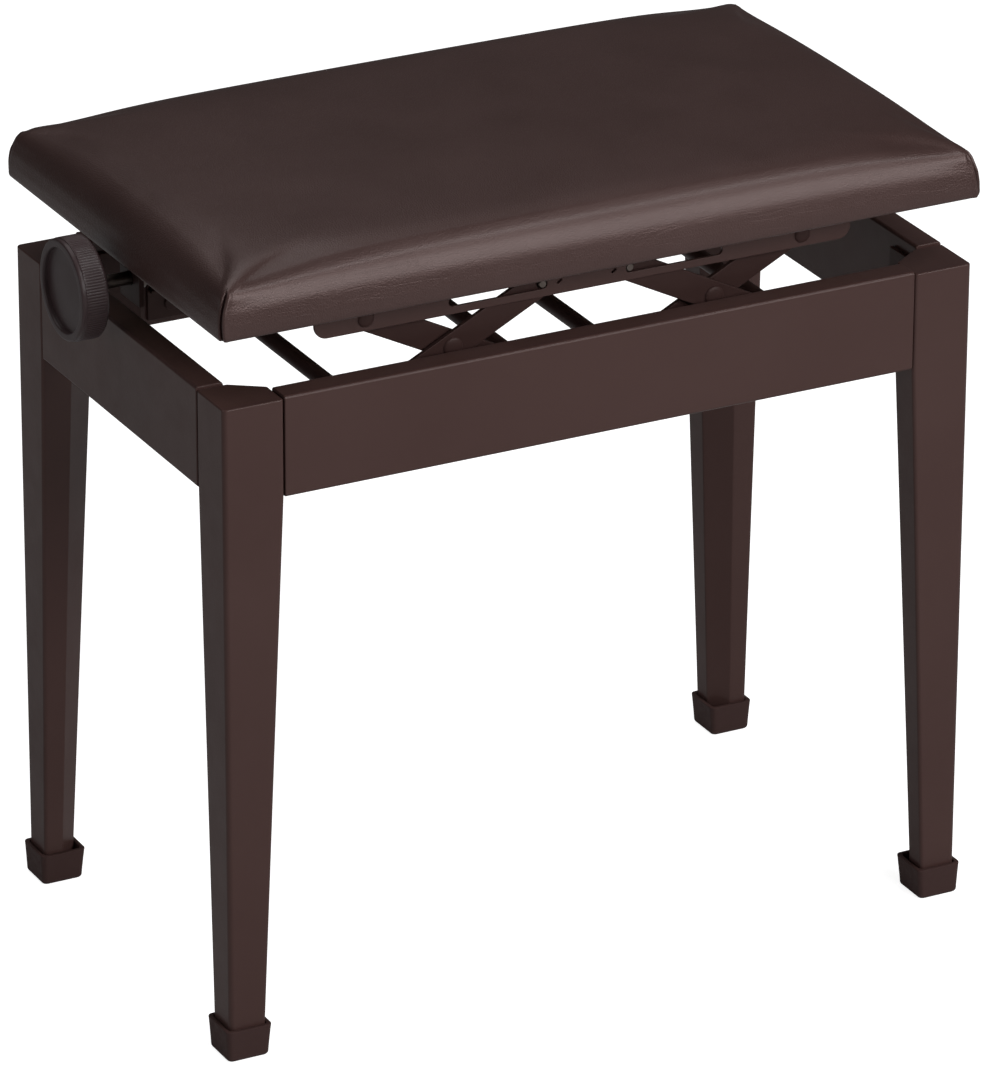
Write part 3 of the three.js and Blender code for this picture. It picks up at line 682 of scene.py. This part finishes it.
def arm(name, node, foot, top, holes, body):
    """A strip from foot to top in the XZ plane, in the place of its node."""
    low, high = box(node)
    along = (top - foot)[[0, 2]]
    length = float(np.hypot(*along))
    radius = foot[2] - low[2]
    outlines = [slot_outline(0, length, radius)]
    for share, size in zip((0, 0.5, 1), holes):
        outlines.append(ring((length * share, 0), size / 2 + 0.3 * MM, 28))
    place = upright((low[1] + high[1]) / 2, math.atan2(along[1], along[0]), foot[0], foot[2])
    plate(name, outlines, place, high[1] - low[1], 0.45 * MM, lift_coat, body, [node])


BAR, SHANK, JOURNAL = 10 * MM, 6 * MM, 5 * MM
for side, end in CORNERS:
    where = f"{side}_{end}"
    fixed, sliding = middle("pivot_bar_" + end), middle("slide_bar_" + end)
    nut, pin = middle("cross_nut_" + end), middle("seat_pivot_pin_" + where)
    arm("lift_arm_outer_" + where, "outer_arm_" + where, fixed, nut, (BAR, SHANK, JOURNAL),
        end + "_outer_arms")
    arm("lift_arm_inner_" + where, "inner_arm_" + where, sliding, pin, (BAR, SHANK, SHANK),
        end + "_inner_arms")
print("arm angle at rest:", round(math.degrees(math.atan2(*(nut - fixed)[[2, 0]])), 1), "degrees")

# %% [markdown]
# ## Nuts and lead screw
# The screw is the bench's engine: half of it is cut right-handed and half left-handed, so one turn
# draws both nuts together or apart. Its thread is a surface of two parameters: the radius at place x
# and angle t is the core less a rounded wave of x / pitch - t / turn, and the sign of the second
# term is the hand.

# %% Cross nuts
def nut_skins(node):
    """A block across the screw, with a stepped journal turned on each side."""
    low, high = box(node)
    centre = middle(node)
    tall = (high[2] - low[2]) / 2
    block = bar(rectangle(centre[:2] - (tall, 10 * MM), centre[:2] + (tall, 10 * MM)), [1.2 * MM] * 4,
                low[2], high[2], "z", 0.8 * MM)
    step, reach = arm_high[1] + 1.2 * MM, high[1]
    half = np.array([(0, reach), (2 * MM, reach), (2.5 * MM, reach - 0.5 * MM), (2.5 * MM, step),
                     (4.6 * MM, step), (5 * MM, step - 0.4 * MM)])
    profile = np.concatenate([half, (half * (1, -1))[::-1]])
    return [block, turned(profile, centre, "y", 32)]


for end in ("left", "right"):
    piece("screw_nut_" + end, nut_skins("cross_nut_" + end), plated, end + "_nut", ["cross_nut_" + end])

# %% Lead screw
PITCH = 2.85 * MM
screw_low, screw_high = box("lead_screw")
axis_z = middle("lead_screw")[2]


def threaded_skin(start, end, radius, count=24):
    """radius - depth / 2 (1 - cos w), with w = 2 pi x / pitch -+ t: right-handed where x is below the
    middle, left-handed above it, and plain for 12 mm round the middle and at both ends."""
    x = np.arange(start, end, PITCH / 7)
    t = np.linspace(0, 2 * np.pi, count, endpoint=False)
    middle_x = middle("seat_middle_plate")[0]
    from_middle = np.abs(x - middle_x)
    reach = abs(box("cross_nut_right")[1][0] - middle_x) + 62 * MM
    cut = np.clip((from_middle - 12 * MM) / PITCH, 0, 1) * np.clip((reach - from_middle) / PITCH, 0, 1)
    wave = 2 * np.pi * x[:, None] / PITCH + np.where(x < middle_x, -1, 1)[:, None] * t
    r = radius - cut[:, None] * 0.55 * MM * (1 - np.cos(wave)) ** 1.5 / 2
    easing = np.minimum(np.minimum(x - start, x[-1] - x), 0.8 * MM)[:, None] - 0.8 * MM
    r = r + easing
    return skin(np.stack([np.broadcast_to(x[:, None], r.shape), r * np.cos(t), axis_z + r * np.sin(t)], -1))


def collar_profile(start, radius=7 * MM, wide=5 * MM):
    c = 0.6 * MM
    return np.array([(0, start), (radius - c, start), (radius, start + c), (radius, start + wide - c),
                     (radius - c, start + wide), (0, start + wide)])


collar_starts = [box("screw_bearing_left")[0][0] + 3.3 * MM, box("screw_bearing_right")[1][0] + 0.3 * MM]
screw_skins = [threaded_skin(screw_low[0], screw_high[0], 4 * MM)]
screw_skins += [turned(collar_profile(x), (0, 0, axis_z), "x", 40) for x in collar_starts]
piece("threaded_screw", screw_skins, plated, "screw", ["lead_screw"], 60)
print("screw:", round((screw_high[0] - screw_low[0]) / MM), "mm long")

# %% [markdown]
# ## Knob
# The knob is turned from a profile: a dished face inside a raised rim, a grip and a cone down to the
# screw. The grip carries fine flutes, which no bump can show at the rim's edge, so the radius itself
# is a wave round the knob, faded in and out at the ends of the grip.

# %% Knob
FLUTES = 108
FLUTE_DEEP = 0.32 * MM
HUB_LONG = 9  # mm, the cone behind the grip


def knob_skin():
    """Profile radius minus FLUTE_DEEP (1 - |cos|) of the flute angle, times the grip's share."""
    low, high = box("knob")
    centre, face = middle("knob"), low[0]
    radius = (high[2] - low[2]) / 2 / MM
    t = np.linspace(0, np.pi / 2, 5)
    rim = [(radius - 4.3 - 1.1 * np.cos(a), 1.3 - 1.3 * np.sin(a)) for a in t]
    shoulder = [(radius - 1.7 + 1.2 * np.sin(a), 1.2 - 1.2 * np.cos(a)) for a in t]
    total = (high[0] - low[0]) / MM
    back = total - HUB_LONG
    grip = [(radius, x) for x in np.linspace(3.4, back - 2.4, 9)]
    profile = [(0, 2.6), (8, 2.7), (14, 2.9), (16, 3.05), (18, 3.1), (radius - 6.3, 3.1),
               (radius - 5.6, 2.9)]
    profile += rim + shoulder
    profile += [(radius - 0.5, 2.2), (radius - 0.45, 2.6), (radius - 0.1, 2.8)] + grip
    profile += [(radius - 0.1, back - 1.8), (radius - 0.5, back - 1.5), (radius - 0.8, back - 0.8),
                (radius - 1.8, back - 0.2), (radius - 3, back), (14.5, back), (12.7, back + 0.3),
                (12, back + 1)]
    profile += [(8.4, total - 0.8), (7.6, total), (0, total)]
    profile = np.array(profile) * MM
    place = profile[:, 1] / MM
    share = np.clip((place - 2.8) / 0.8, 0, 1) * np.clip((back - 1.8 - place) / 0.8, 0, 1)
    t = np.linspace(0, 2 * np.pi, FLUTES * 6, endpoint=False)
    flute = FLUTE_DEEP * (1 - np.abs(np.cos(FLUTES * t / 2)))
    r = profile[:, :1] - share[:, None] * flute
    x = np.broadcast_to(face + profile[:, 1:], r.shape)
    return skin(np.stack([x, centre[1] + r * np.cos(t), centre[2] + r * np.sin(t)], -1))


piece("fluted_knob", [knob_skin()], knob_plastic, "screw", ["knob"], 50)
print("knob:", np.round((box("knob")[1] - box("knob")[0]) / MM, 1), "mm, with", FLUTES, "flutes")

# %% [markdown]
# ## Slotted seat rails
# A seat rail is an angle of 2 mm sheet. Its web has a long slot for each nut's journal, a hole for
# each pivot and two small slanted slits, each with the pressed-in tab behind it. The web is a plate
# with those holes, each tab is a short bar in the lift's darker paint, which paints the shade of the
# recess behind its slit, and the fold and the flange are one profile carried along the rail.

# %% Slotted seat rails
LANCE_AWAY = 17.5 * MM  # from the rail's middle to each slit
TAB_HALF = np.array([2.6, 2.4]) * MM
lift_range = math.radians(next(j for j in frame["joints"] if j["name"] == "seat_lift")["range_deg"][1])


def far_slide(end):
    """Where a nut stands with the seat at its highest: pivot minus length times the cosine."""
    pivot, nut = middle("pivot_bar_" + end), middle("cross_nut_" + end)
    dx, dz = (nut - pivot)[[0, 2]]
    angle = math.atan2(dz, abs(dx)) + lift_range
    return pivot[0] + math.copysign(math.hypot(dx, dz) * math.cos(angle), dx)


def seat_rail(side):
    """The web's outline has two round lower corners; the fold is a quarter circle to the flange."""
    low, high = box("seat_rail_" + side)
    out = -TOWARDS[side]
    web_outer = max(abs(low[1]), abs(high[1]))
    flange_inner = min(abs(low[1]), abs(high[1]))
    thick, bend = 2 * MM, 3 * MM
    corners = rectangle((low[0], low[2]), (high[0], high[2] - bend))
    outline = rounded(corners, [8 * MM, 8 * MM, 0.3 * MM, 0.3 * MM], 10)
    middle_x, pivot_z = (low[0] + high[0]) / 2, axis_z
    holes = []
    for end in ("left", "right"):
        nut, far = middle("cross_nut_" + end)[0], far_slide(end)
        holes.append(slot_outline(min(nut, far), max(nut, far), 2.8 * MM) + (0, pivot_z))
        holes.append(ring((middle("pivot_bar_" + end)[0], pivot_z), 3.3 * MM, 28))
        sign = TOWARDS[end]
        lance = slot_outline(-1.1 * MM, 1.1 * MM, 0.7 * MM, 8) @ np.array([[0.8, 0.6], [-0.6, 0.8]])
        holes.append(lance + (middle_x - sign * LANCE_AWAY, pivot_z))
    place = upright(out * (web_outer - thick / 2))
    plate("rail_web_" + side, [outline] + holes, place, thick, 0.4 * MM, frame_coat, "seat",
          ["seat_rail_" + side])
    inner = out * (web_outer - thick)
    tab_ends = sorted((inner, inner - out * MM))
    tab_places = [np.array([middle_x + s * LANCE_AWAY, pivot_z]) for s in (-1, 1)]
    tabs = [bar(rectangle(at - TAB_HALF, at + TAB_HALF), [0.8 * MM] * 4, *tab_ends, "y", 0.2 * MM, 3)
            for at in tab_places]
    # The tabs take the lift's darker paint rather than the web's own: painted shade in the recess behind each
    # slit.
    piece("lanced_tabs_painted_shade_" + side, tabs, lift_coat, "seat", ())
    t = np.linspace(0, np.pi / 2, 7)
    curve = np.stack([np.cos(t), np.sin(t)], 1)
    fold = (web_outer - bend, high[2] - bend)
    seam = high[2] - bend - 0.6 * MM  # just below the web's top edge
    section = np.concatenate([[(web_outer, seam)], fold + bend * curve,
                              [(flange_inner, high[2]), (flange_inner, high[2] - thick)],
                              (fold + (bend - thick) * curve)[::-1], [(web_outer - thick, seam)]])
    section[:, 0] *= out
    along = np.array([low[0], high[0]])
    rings = stacked(np.stack([section, section]), along, "x")
    piece("rail_flange_" + side, [skin(rings)], frame_coat, "seat", ())


for side in ("front", "back"):
    seat_rail(side)
print("slots run from", round(middle("cross_nut_left")[0] / MM), "to", round(far_slide("left") / MM), "mm")

# %% [markdown]
# ## The padded seat
# Foam over a plywood board, with leather cloth drawn over it and stapled underneath. The cover's
# side is upright for about 14 mm and then rolls over into a low crown. At each corner the roll is
# squarer and lower, and the spare cloth is folded into one upright pleat. The form could be
# sculpted, but rings that shrink from the board's pocket out to the side and in again over the
# crown give an even mesh that cloth can swell.

# %% The seat's rings
pad_low, pad_high = box("seat_pad")
board_low, board_high = box("seat_board")
pad_centre = (pad_low + pad_high) / 2
BULGE = 0.8 * MM  # the CAD pad's sides stand out by this much at half height
PAD_HALF = (pad_high - pad_low)[:2] / 2 - BULGE
PAD_TALL = pad_high[2] - pad_low[2]
ROLL_TOP = 34.2  # mm, the roll's top before the crown is added
LONG, SHORT, ARC = 104, 60, 15  # points along a long side, a short side and round a corner
SWELL = 3.2 * MM  # how far the cloth simulation may lift the crown
SIDE_SWELL = 1.0 * MM
ROLL_FROM, ROLL_DEEP = 14 * MM, 12.5 * MM  # where the roll starts, and how far in it reaches
CORNER_REACH, DROOP_REACH = 34 * MM, 44 * MM


def soft_rings(half_x, half_y, radius):
    """Rounded rectangles with the same number of points each: four arcs, and evenly spaced points
    between the end of one arc and the start of the next."""
    quarter = np.linspace(0, np.pi / 2, ARC)[None]
    arcs = []
    for k, (sx, sy) in enumerate([(1, 1), (-1, 1), (-1, -1), (1, -1)]):
        angle = quarter + k * np.pi / 2
        x = sx * (half_x - radius)[:, None] + radius[:, None] * np.cos(angle)
        y = sy * (half_y - radius)[:, None] + radius[:, None] * np.sin(angle)
        arcs.append(np.stack([x, y], -1))
    rings = []
    for k, count in enumerate((LONG, SHORT, LONG, SHORT)):
        share = np.linspace(0, 1, count + 2)[1:-1][None, :, None]
        rings += [arcs[k], arcs[k][:, -1:] * (1 - share) + arcs[(k + 1) % 4][:, :1] * share]
    return np.concatenate(rings, 1)


def pad_rows():
    """Inset from the side and height above the board's underside, row by row, in millimetres: the
    pocket over the board, the turned edge, the side, the roll (a quarter ellipse) and the crown,
    which adds rise (1 - (1 - inset / half)^2.2) to everything from the side in."""
    half = PAD_HALF[1] / MM
    pocket = (board_high[2] - pad_low[2]) / MM + 0.3
    wall = (PAD_HALF[1] * 2 - (board_high - board_low)[1]) / 2 / MM - 0.3
    under = [(half, pocket), (half * 0.6, pocket), (wall + 1.2, pocket), (wall, pocket - 0.2),
             (wall, 1.0), (wall, 0.15), (wall - 0.8, 0), (wall / 2, 0), (2.2, 0), (1.2, 0.25)]
    side = [(0.75, 0.8), (0.45, 1.8), (0.2, 3.2)]
    side += [(-0.6 * np.sin(np.pi * np.clip((z - 3.2) / 18, 0, 1)), z) for z in np.linspace(5.5, 12, 4)]
    turn = np.linspace(0, np.pi / 2, 13)[1:]
    deep, start = ROLL_DEEP / MM, ROLL_FROM / MM
    roll = np.stack([deep * (1 - np.cos(turn)), start + (ROLL_TOP - start) * np.sin(turn)], 1)
    roll[:, 0] -= 0.6 * np.clip(1 - turn / 0.6, 0, 1)
    inner = deep + (half - deep) * np.linspace(0, 1, 32)[1:] ** 1.05
    top = np.stack([inner, np.full(len(inner), ROLL_TOP)], 1)
    over = np.concatenate([side, roll, top])
    rise = PAD_TALL / MM - ROLL_TOP - SWELL / MM * 0.9
    over[:, 1] += rise * (1 - np.clip(1 - over[:, 0] / half, 0, 1) ** 2.2) * (over[:, 1] > 6)
    return np.concatenate([under, over]) * MM, len(under) + 3


def pad_grid():
    """Every row's ring, with plan corners that grow softer from 5 mm at the board to the crown. Near a
    corner, where exp(-(distance / reach)^1.5) is close to 1, the roll stands further out and lies
    lower, because there the folded cloth holds the foam square."""
    rows, held = pad_rows()
    depth, height = rows[:, 0] + 0.5 * SIDE_SWELL * (np.arange(len(rows)) >= held), rows[:, 1]
    radius = np.interp(height / MM, [0, 3, 22, 34, 40], [4.5, 4.8, 5.0, 6.5, 14]) * MM
    radius = np.where(np.arange(len(rows)) < 10, 4 * MM, radius) + 0.28 * depth * (height > 20 * MM)
    radius += 0.8 * np.maximum(depth - ROLL_DEEP, 0)
    half = np.maximum(PAD_HALF[None] - depth[:, None], 0)
    radius = np.minimum(radius, half[:, 1])
    plan = soft_rings(half[:, 0], half[:, 1], radius)
    level = np.broadcast_to(height[:, None], plan.shape[:2])
    away = np.linalg.norm(PAD_HALF - np.abs(plan), axis=-1)
    near, wider = np.exp(-(away / CORNER_REACH) ** 1.5), np.exp(-(away / DROOP_REACH) ** 1.5)
    above = np.clip((level - ROLL_FROM) / (14 * MM), 0, 1) * near
    outwards = 0.72 * ROLL_DEEP * above * np.clip(depth / ROLL_DEEP, 0, 1)[:, None]
    plan = plan + np.sign(plan) * outwards[..., None]
    level = level - 0.34 * (level - ROLL_FROM) * (level > ROLL_FROM) * wider
    return np.concatenate([plan + pad_centre[:2], (pad_low[2] + level)[..., None]], -1), held


pad_points, held_rows = pad_grid()
print("pad grid:", pad_points.shape[0], "rings of", pad_points.shape[1], "points")

# %% [markdown]
# ### Blowing it up
# Real padding pushes its cover out until the cloth is tight. Blender's cloth does the same with a
# pressure inside a closed mesh. The rows under the seat are held, gravity is off, and each point's
# travel is capped, so that the seat keeps its size while its roll and crown find their own tension.

# %% Cloth simulation
FRAMES = 20
PRESSURE = 4.0


def merged(points, faces):
    """The same mesh with equal points made one, and for each old point the number of its new one."""
    _, first, owner = np.unique(np.round(points / 1e-7), axis=0, return_index=True, return_inverse=True)
    owner = owner.ravel()
    short = [list(dict.fromkeys(owner[face])) for face in faces]
    return points[first], [face for face in short if len(face) > 2], owner


def temporary(name, points, faces):
    mesh = bpy.data.meshes.new(name)
    mesh.from_pydata(points, [], faces)
    made = bpy.data.objects.new(name, mesh)
    bpy.context.scene.collection.objects.link(made)
    return made


def coordinates(mesh):
    flat = np.empty(len(mesh.vertices) * 3, np.float32)
    mesh.vertices.foreach_get("co", flat)
    return flat.reshape(-1, 3).astype(float)


def blown_up(grid, held):
    """Where each grid point goes under pressure, with the rows before `held` fixed."""
    points, faces = skin(grid, closed=False)
    few, short, owner = merged(points, faces)
    trial = temporary("cloth_trial", few, short)
    group = trial.vertex_groups.new(name="held")
    fixed = np.unique(owner[: held * grid.shape[1]])
    group.add(fixed.tolist(), 1.0, "REPLACE")
    cloth = trial.modifiers.new("cover", "CLOTH")
    cloth.settings.vertex_group_mass = "held"
    cloth.settings.use_pressure = True
    cloth.settings.uniform_pressure_force = PRESSURE
    cloth.settings.tension_stiffness = 15
    cloth.settings.bending_stiffness = 0.5
    cloth.settings.effector_weights.gravity = 0
    cloth.point_cache.frame_start, cloth.point_cache.frame_end = 1, FRAMES
    for number in range(1, FRAMES + 1):
        bpy.context.scene.frame_set(number)
    solved = trial.evaluated_get(bpy.context.evaluated_depsgraph_get())
    moved = coordinates(solved.data)[owner].reshape(grid.shape)
    bpy.data.objects.remove(trial)
    bpy.context.scene.frame_set(1)
    return moved


def calmed(field, rounds):
    """Each value becomes the mean of itself and its four neighbours, a few times over."""
    for _ in range(rounds):
        around = np.roll(field, 1, 1) + np.roll(field, -1, 1)
        up = np.concatenate([field[:1], field[:-1]])
        down = np.concatenate([field[1:], field[-1:]])
        field = (field * 2 + around + up + down) / 6
    return field


travel = calmed(blown_up(pad_points, held_rows) - pad_points, 10)
height_share = np.clip((pad_points[..., 2] - pad_low[2]) / MM / 24 - 0.35, 0, 1)
cap = (SIDE_SWELL + (SWELL - SIDE_SWELL) * height_share)[..., None]
length = np.linalg.norm(travel, axis=-1, keepdims=True)
travel *= cap * np.tanh(length / cap) / np.maximum(length, 1e-9)
travel *= np.clip((np.arange(len(pad_points)) - held_rows + 1) / 4, 0, 1)[:, None, None]
travel = calmed(travel, 2)
travel[:held_rows - 2] = 0
print("the cover moved out by up to", round(float(np.linalg.norm(travel, axis=-1).max() / MM), 2), "mm")

# %% [markdown]
# ### Pleats
# The pleat is cut in after the cloth has settled, because a narrow fold would be lost in it. Seen
# from above, each corner is an arc, and the distance along that arc from its middle decides the
# depth: a narrow valley on the corner itself, and beside it the lip of the overlapping cloth.

# %% Pleats and the finished seat
SLIT_HALF, SLIT_DEPTH = 0.72 * MM, 3.0 * MM
LIP_WIDTH, LIP_RISE = 1.5 * MM, 0.75 * MM
PLEAT_TOP = 25.5 * MM


def pleated(points):
    """Moves points along the corner's outward direction by lip exp(-(w - l)^2) - slit exp(-w^2),
    where w is the arc distance from a line that bows away from the corner's middle, and fades it
    over the top of the pleat."""
    local = points - (*pad_centre[:2], pad_low[2])
    sign = np.sign(local[:, :2])
    reach = 9 * MM
    out = np.abs(local[:, :2]) - (PAD_HALF - reach)
    inside = (out > -0.5 * MM).all(1)
    angle = np.arctan2(out[:, 1], np.maximum(out[:, 0], 1e-6))
    w = (angle - np.pi / 4) * np.maximum(np.hypot(*out.T), 3 * MM)
    height = local[:, 2]
    bow = sign[:, 0] * MM * (0.5 + 1.0 * np.sin(np.pi * np.clip(height / PLEAT_TOP, 0, 1)))
    fade = np.clip((PLEAT_TOP + 2.5 * MM - height) / (3.5 * MM), 0, 1)
    fade = fade * fade * (3 - 2 * fade)
    slit = SLIT_DEPTH * np.exp(-((w - bow) / SLIT_HALF) ** 2)
    lip = LIP_RISE * np.exp(-((w - bow - 1.5 * LIP_WIDTH) / LIP_WIDTH) ** 2)
    shift = inside * fade * (lip - slit) * (height > -0.1 * MM)
    knot = np.exp(-(w / (2.4 * MM)) ** 2 - ((height - PLEAT_TOP - 1.5 * MM) / (2.2 * MM)) ** 2)
    radial = sign * unit(np.maximum(out, 1e-6))
    moved = local.copy()
    moved[:, :2] += radial * shift[:, None]
    moved[:, :2] += radial * (0.5 * MM * knot * inside)[:, None]
    moved[:, 2] += 0.7 * MM * knot * inside
    return moved + (*pad_centre[:2], pad_low[2])


def seat_mesh():
    """The grid with its travel, subdivided once, then pleated."""
    points, faces = skin(pad_points + travel, closed=False)
    few, short, _ = merged(points, faces)
    rough = temporary("seat_rough", few, short)
    divide = rough.modifiers.new("finer", "SUBSURF")
    divide.levels = divide.render_levels = 1
    solid = rough.evaluated_get(bpy.context.evaluated_depsgraph_get())
    mesh = bpy.data.meshes.new_from_object(solid)
    bpy.data.objects.remove(rough)
    mesh.vertices.foreach_set("co", pleated(coordinates(mesh)).astype(np.float32).ravel())
    mesh.name = "padded_seat"
    return mesh


seat = dressed("padded_seat", seat_mesh(), leather, "seat", ["seat_pad"], 180, soft=True)
print("seat faces:", len(seat.data.polygons))

# %% [markdown]
# ### Underneath
# Below, the cover is turned under the board as a flat hem and stapled along its middle. The hem is
# a flat ring of the cover's own cloth, and the staples are short lengths of flat wire.

# %% Hem and staples
HEM_THICK, HEM_OUTER, HEM_INNER = 0.8 * MM, 3 * MM, 25.5 * MM


def pad_outline(depth, radius):
    """The seat's plan, drawn in by depth."""
    corners = rectangle(pad_centre[:2] - PAD_HALF + depth, pad_centre[:2] + PAD_HALF - depth)
    return rounded(corners, [radius] * 4, 8)


hem_z = pad_low[2] - HEM_THICK / 2 + 0.1 * MM
plate("turned_hem", [pad_outline(HEM_OUTER, 5 * MM), pad_outline(HEM_INNER, 3 * MM)],
      Matrix.Translation((0, 0, hem_z)), HEM_THICK, 0.3 * MM, leather, "seat", ())


def staple(x, y, along):
    """A flat wire 10 mm long on the hem, with eased edges."""
    half = np.array([5, 0.5] if along == "x" else [0.5, 5]) * MM
    low_z = hem_z - HEM_THICK / 2
    return bar(rectangle(np.array([x, y]) - half, np.array([x, y]) + half), [0.2 * MM] * 4,
               low_z - 0.35 * MM, low_z + 0.1 * MM, "z", 0.12 * MM, 2)


reach_x, reach_y = PAD_HALF - (HEM_OUTER + HEM_INNER) / 2
long_side = np.linspace(-0.93, 0.93, 15) * reach_x
short_side = np.linspace(-0.88, 0.88, 8) * reach_y
staples = [staple(pad_centre[0] + x, pad_centre[1] + s * reach_y, "x")
           for s in (-1, 1) for x in long_side]
staples += [staple(pad_centre[0] + s * reach_x, pad_centre[1] + y, "y")
            for s in (-1, 1) for y in short_side if s > 0 or abs(y) > 20 * MM]
piece("hem_staples", staples, plated, "seat", ())
print(len(staples), "staples")

# %% [markdown]
# ## Floor, light and camera
# The bench stands on a wide pale sweep. Its glow is seen by the camera only, so that the floor shows
# plain and bright without lighting the bench from below. The key is a wide soft light on the right
# in front, which draws the broad gleam along the seat's front roll. A narrow one above it touches
# the edges, a wide one above and behind lights the seat's top and the back, and a small one helps
# the left.

# %% Floor and lights
FLOOR_GLOW = 0.86
ROOM_GLOW, ROOM_DIM = 0.85, 0.06  # the room as the camera sees it, and its light on everything else


def floor_finish():
    """A matt pale sweep whose glow is for the camera alone, so it brightens no shaded side."""
    material, tree, shader, _ = new_finish("pale_sweep", Roughness=0.9)
    shader.inputs["Specular IOR Level"].default_value = 0.1
    shader.inputs["Base Color"].default_value = (0.6, 0.6, 0.6, 1)
    shader.inputs["Emission Color"].default_value = (1, 1, 1, 1)
    seen = put(tree, "ShaderNodeLightPath").outputs["Is Camera Ray"]
    glow = put(tree, "ShaderNodeMath", {0: seen, 1: FLOOR_GLOW}, operation="MULTIPLY")
    tree.links.new(glow.outputs[0], shader.inputs["Emission Strength"])
    return material


FLOOR_HALF = 30.0
floor_corners = np.array([(x, y, 0) for y in (-1, 1) for x in (-1, 1)]) * FLOOR_HALF
floor = temporary("pale_floor", floor_corners, [[0, 1, 3, 2]])
floor.data.materials.append(floor_finish())

bench_middle = Vector(((cad_box[0] + cad_box[1]) / 2)[:])


def softbox(name, direction, distance, size, power):
    """An area light that faces the bench's middle from a direction."""
    lamp = bpy.data.lights.new(name, "AREA")
    lamp.shape, lamp.size, lamp.size_y, lamp.energy = "RECTANGLE", size[0], size[1], power
    made = bpy.data.objects.new(name, lamp)
    way = Vector(direction).normalized()
    made.location = bench_middle + way * distance
    made.rotation_mode = "QUATERNION"
    made.rotation_quaternion = way.to_track_quat("Z", "Y")
    bpy.context.scene.collection.objects.link(made)


softbox("key_softbox", (0.36, -0.85, 0.48), 3.0, (3.0, 1.2), 70)
softbox("top_softbox", (0.35, -0.45, 0.82), 2.6, (1.6, 0.25), 15)
softbox("ceiling_softbox", (-0.15, 0.45, 1.2), 3.0, (3.0, 2.0), 33)
softbox("left_softbox", (-0.9, -0.35, 0.3), 2.8, (0.8, 1.2), 9)
room = bpy.data.worlds.new("dim_room")
room.use_nodes = True
back = room.node_tree.nodes["Background"]
back.inputs["Color"].default_value = (1, 1, 1, 1)
seen = put(room.node_tree, "ShaderNodeLightPath").outputs["Is Camera Ray"]
room_light = {0: seen, 1: ROOM_GLOW, 2: ROOM_DIM}
level = put(room.node_tree, "ShaderNodeMath", room_light, operation="MULTIPLY_ADD")
room.node_tree.links.new(level.outputs[0], back.inputs["Strength"])
bpy.context.scene.world = room
bpy.context.scene.view_settings.view_transform = "Standard"

# %% Camera
LENS = 261.35  # mm, on a 36 mm sensor: a long lens from almost five metres
RIGHT, UP, BACK = (0.8871, -0.4617, 0.0032), (0.1851, 0.3619, 0.9137), (-0.423, -0.8099, 0.4064)
STAND = (-1.9403, -3.7191, 2.0915)  # from the point of the floor under the seat's middle
camera_data = bpy.data.cameras.new("camera")
camera_data.lens, camera_data.sensor_width, camera_data.sensor_fit = LENS, 36, "AUTO"
camera_data.clip_end = 200
camera = bpy.data.objects.new("camera", camera_data)
bpy.context.scene.collection.objects.link(camera)
turn = Matrix((RIGHT, UP, BACK)).transposed().to_4x4()
camera.matrix_world = Matrix.Translation(Vector(STAND) + Vector((pad_centre[0], pad_centre[1], 0))) @ turn
bpy.context.scene.camera = camera
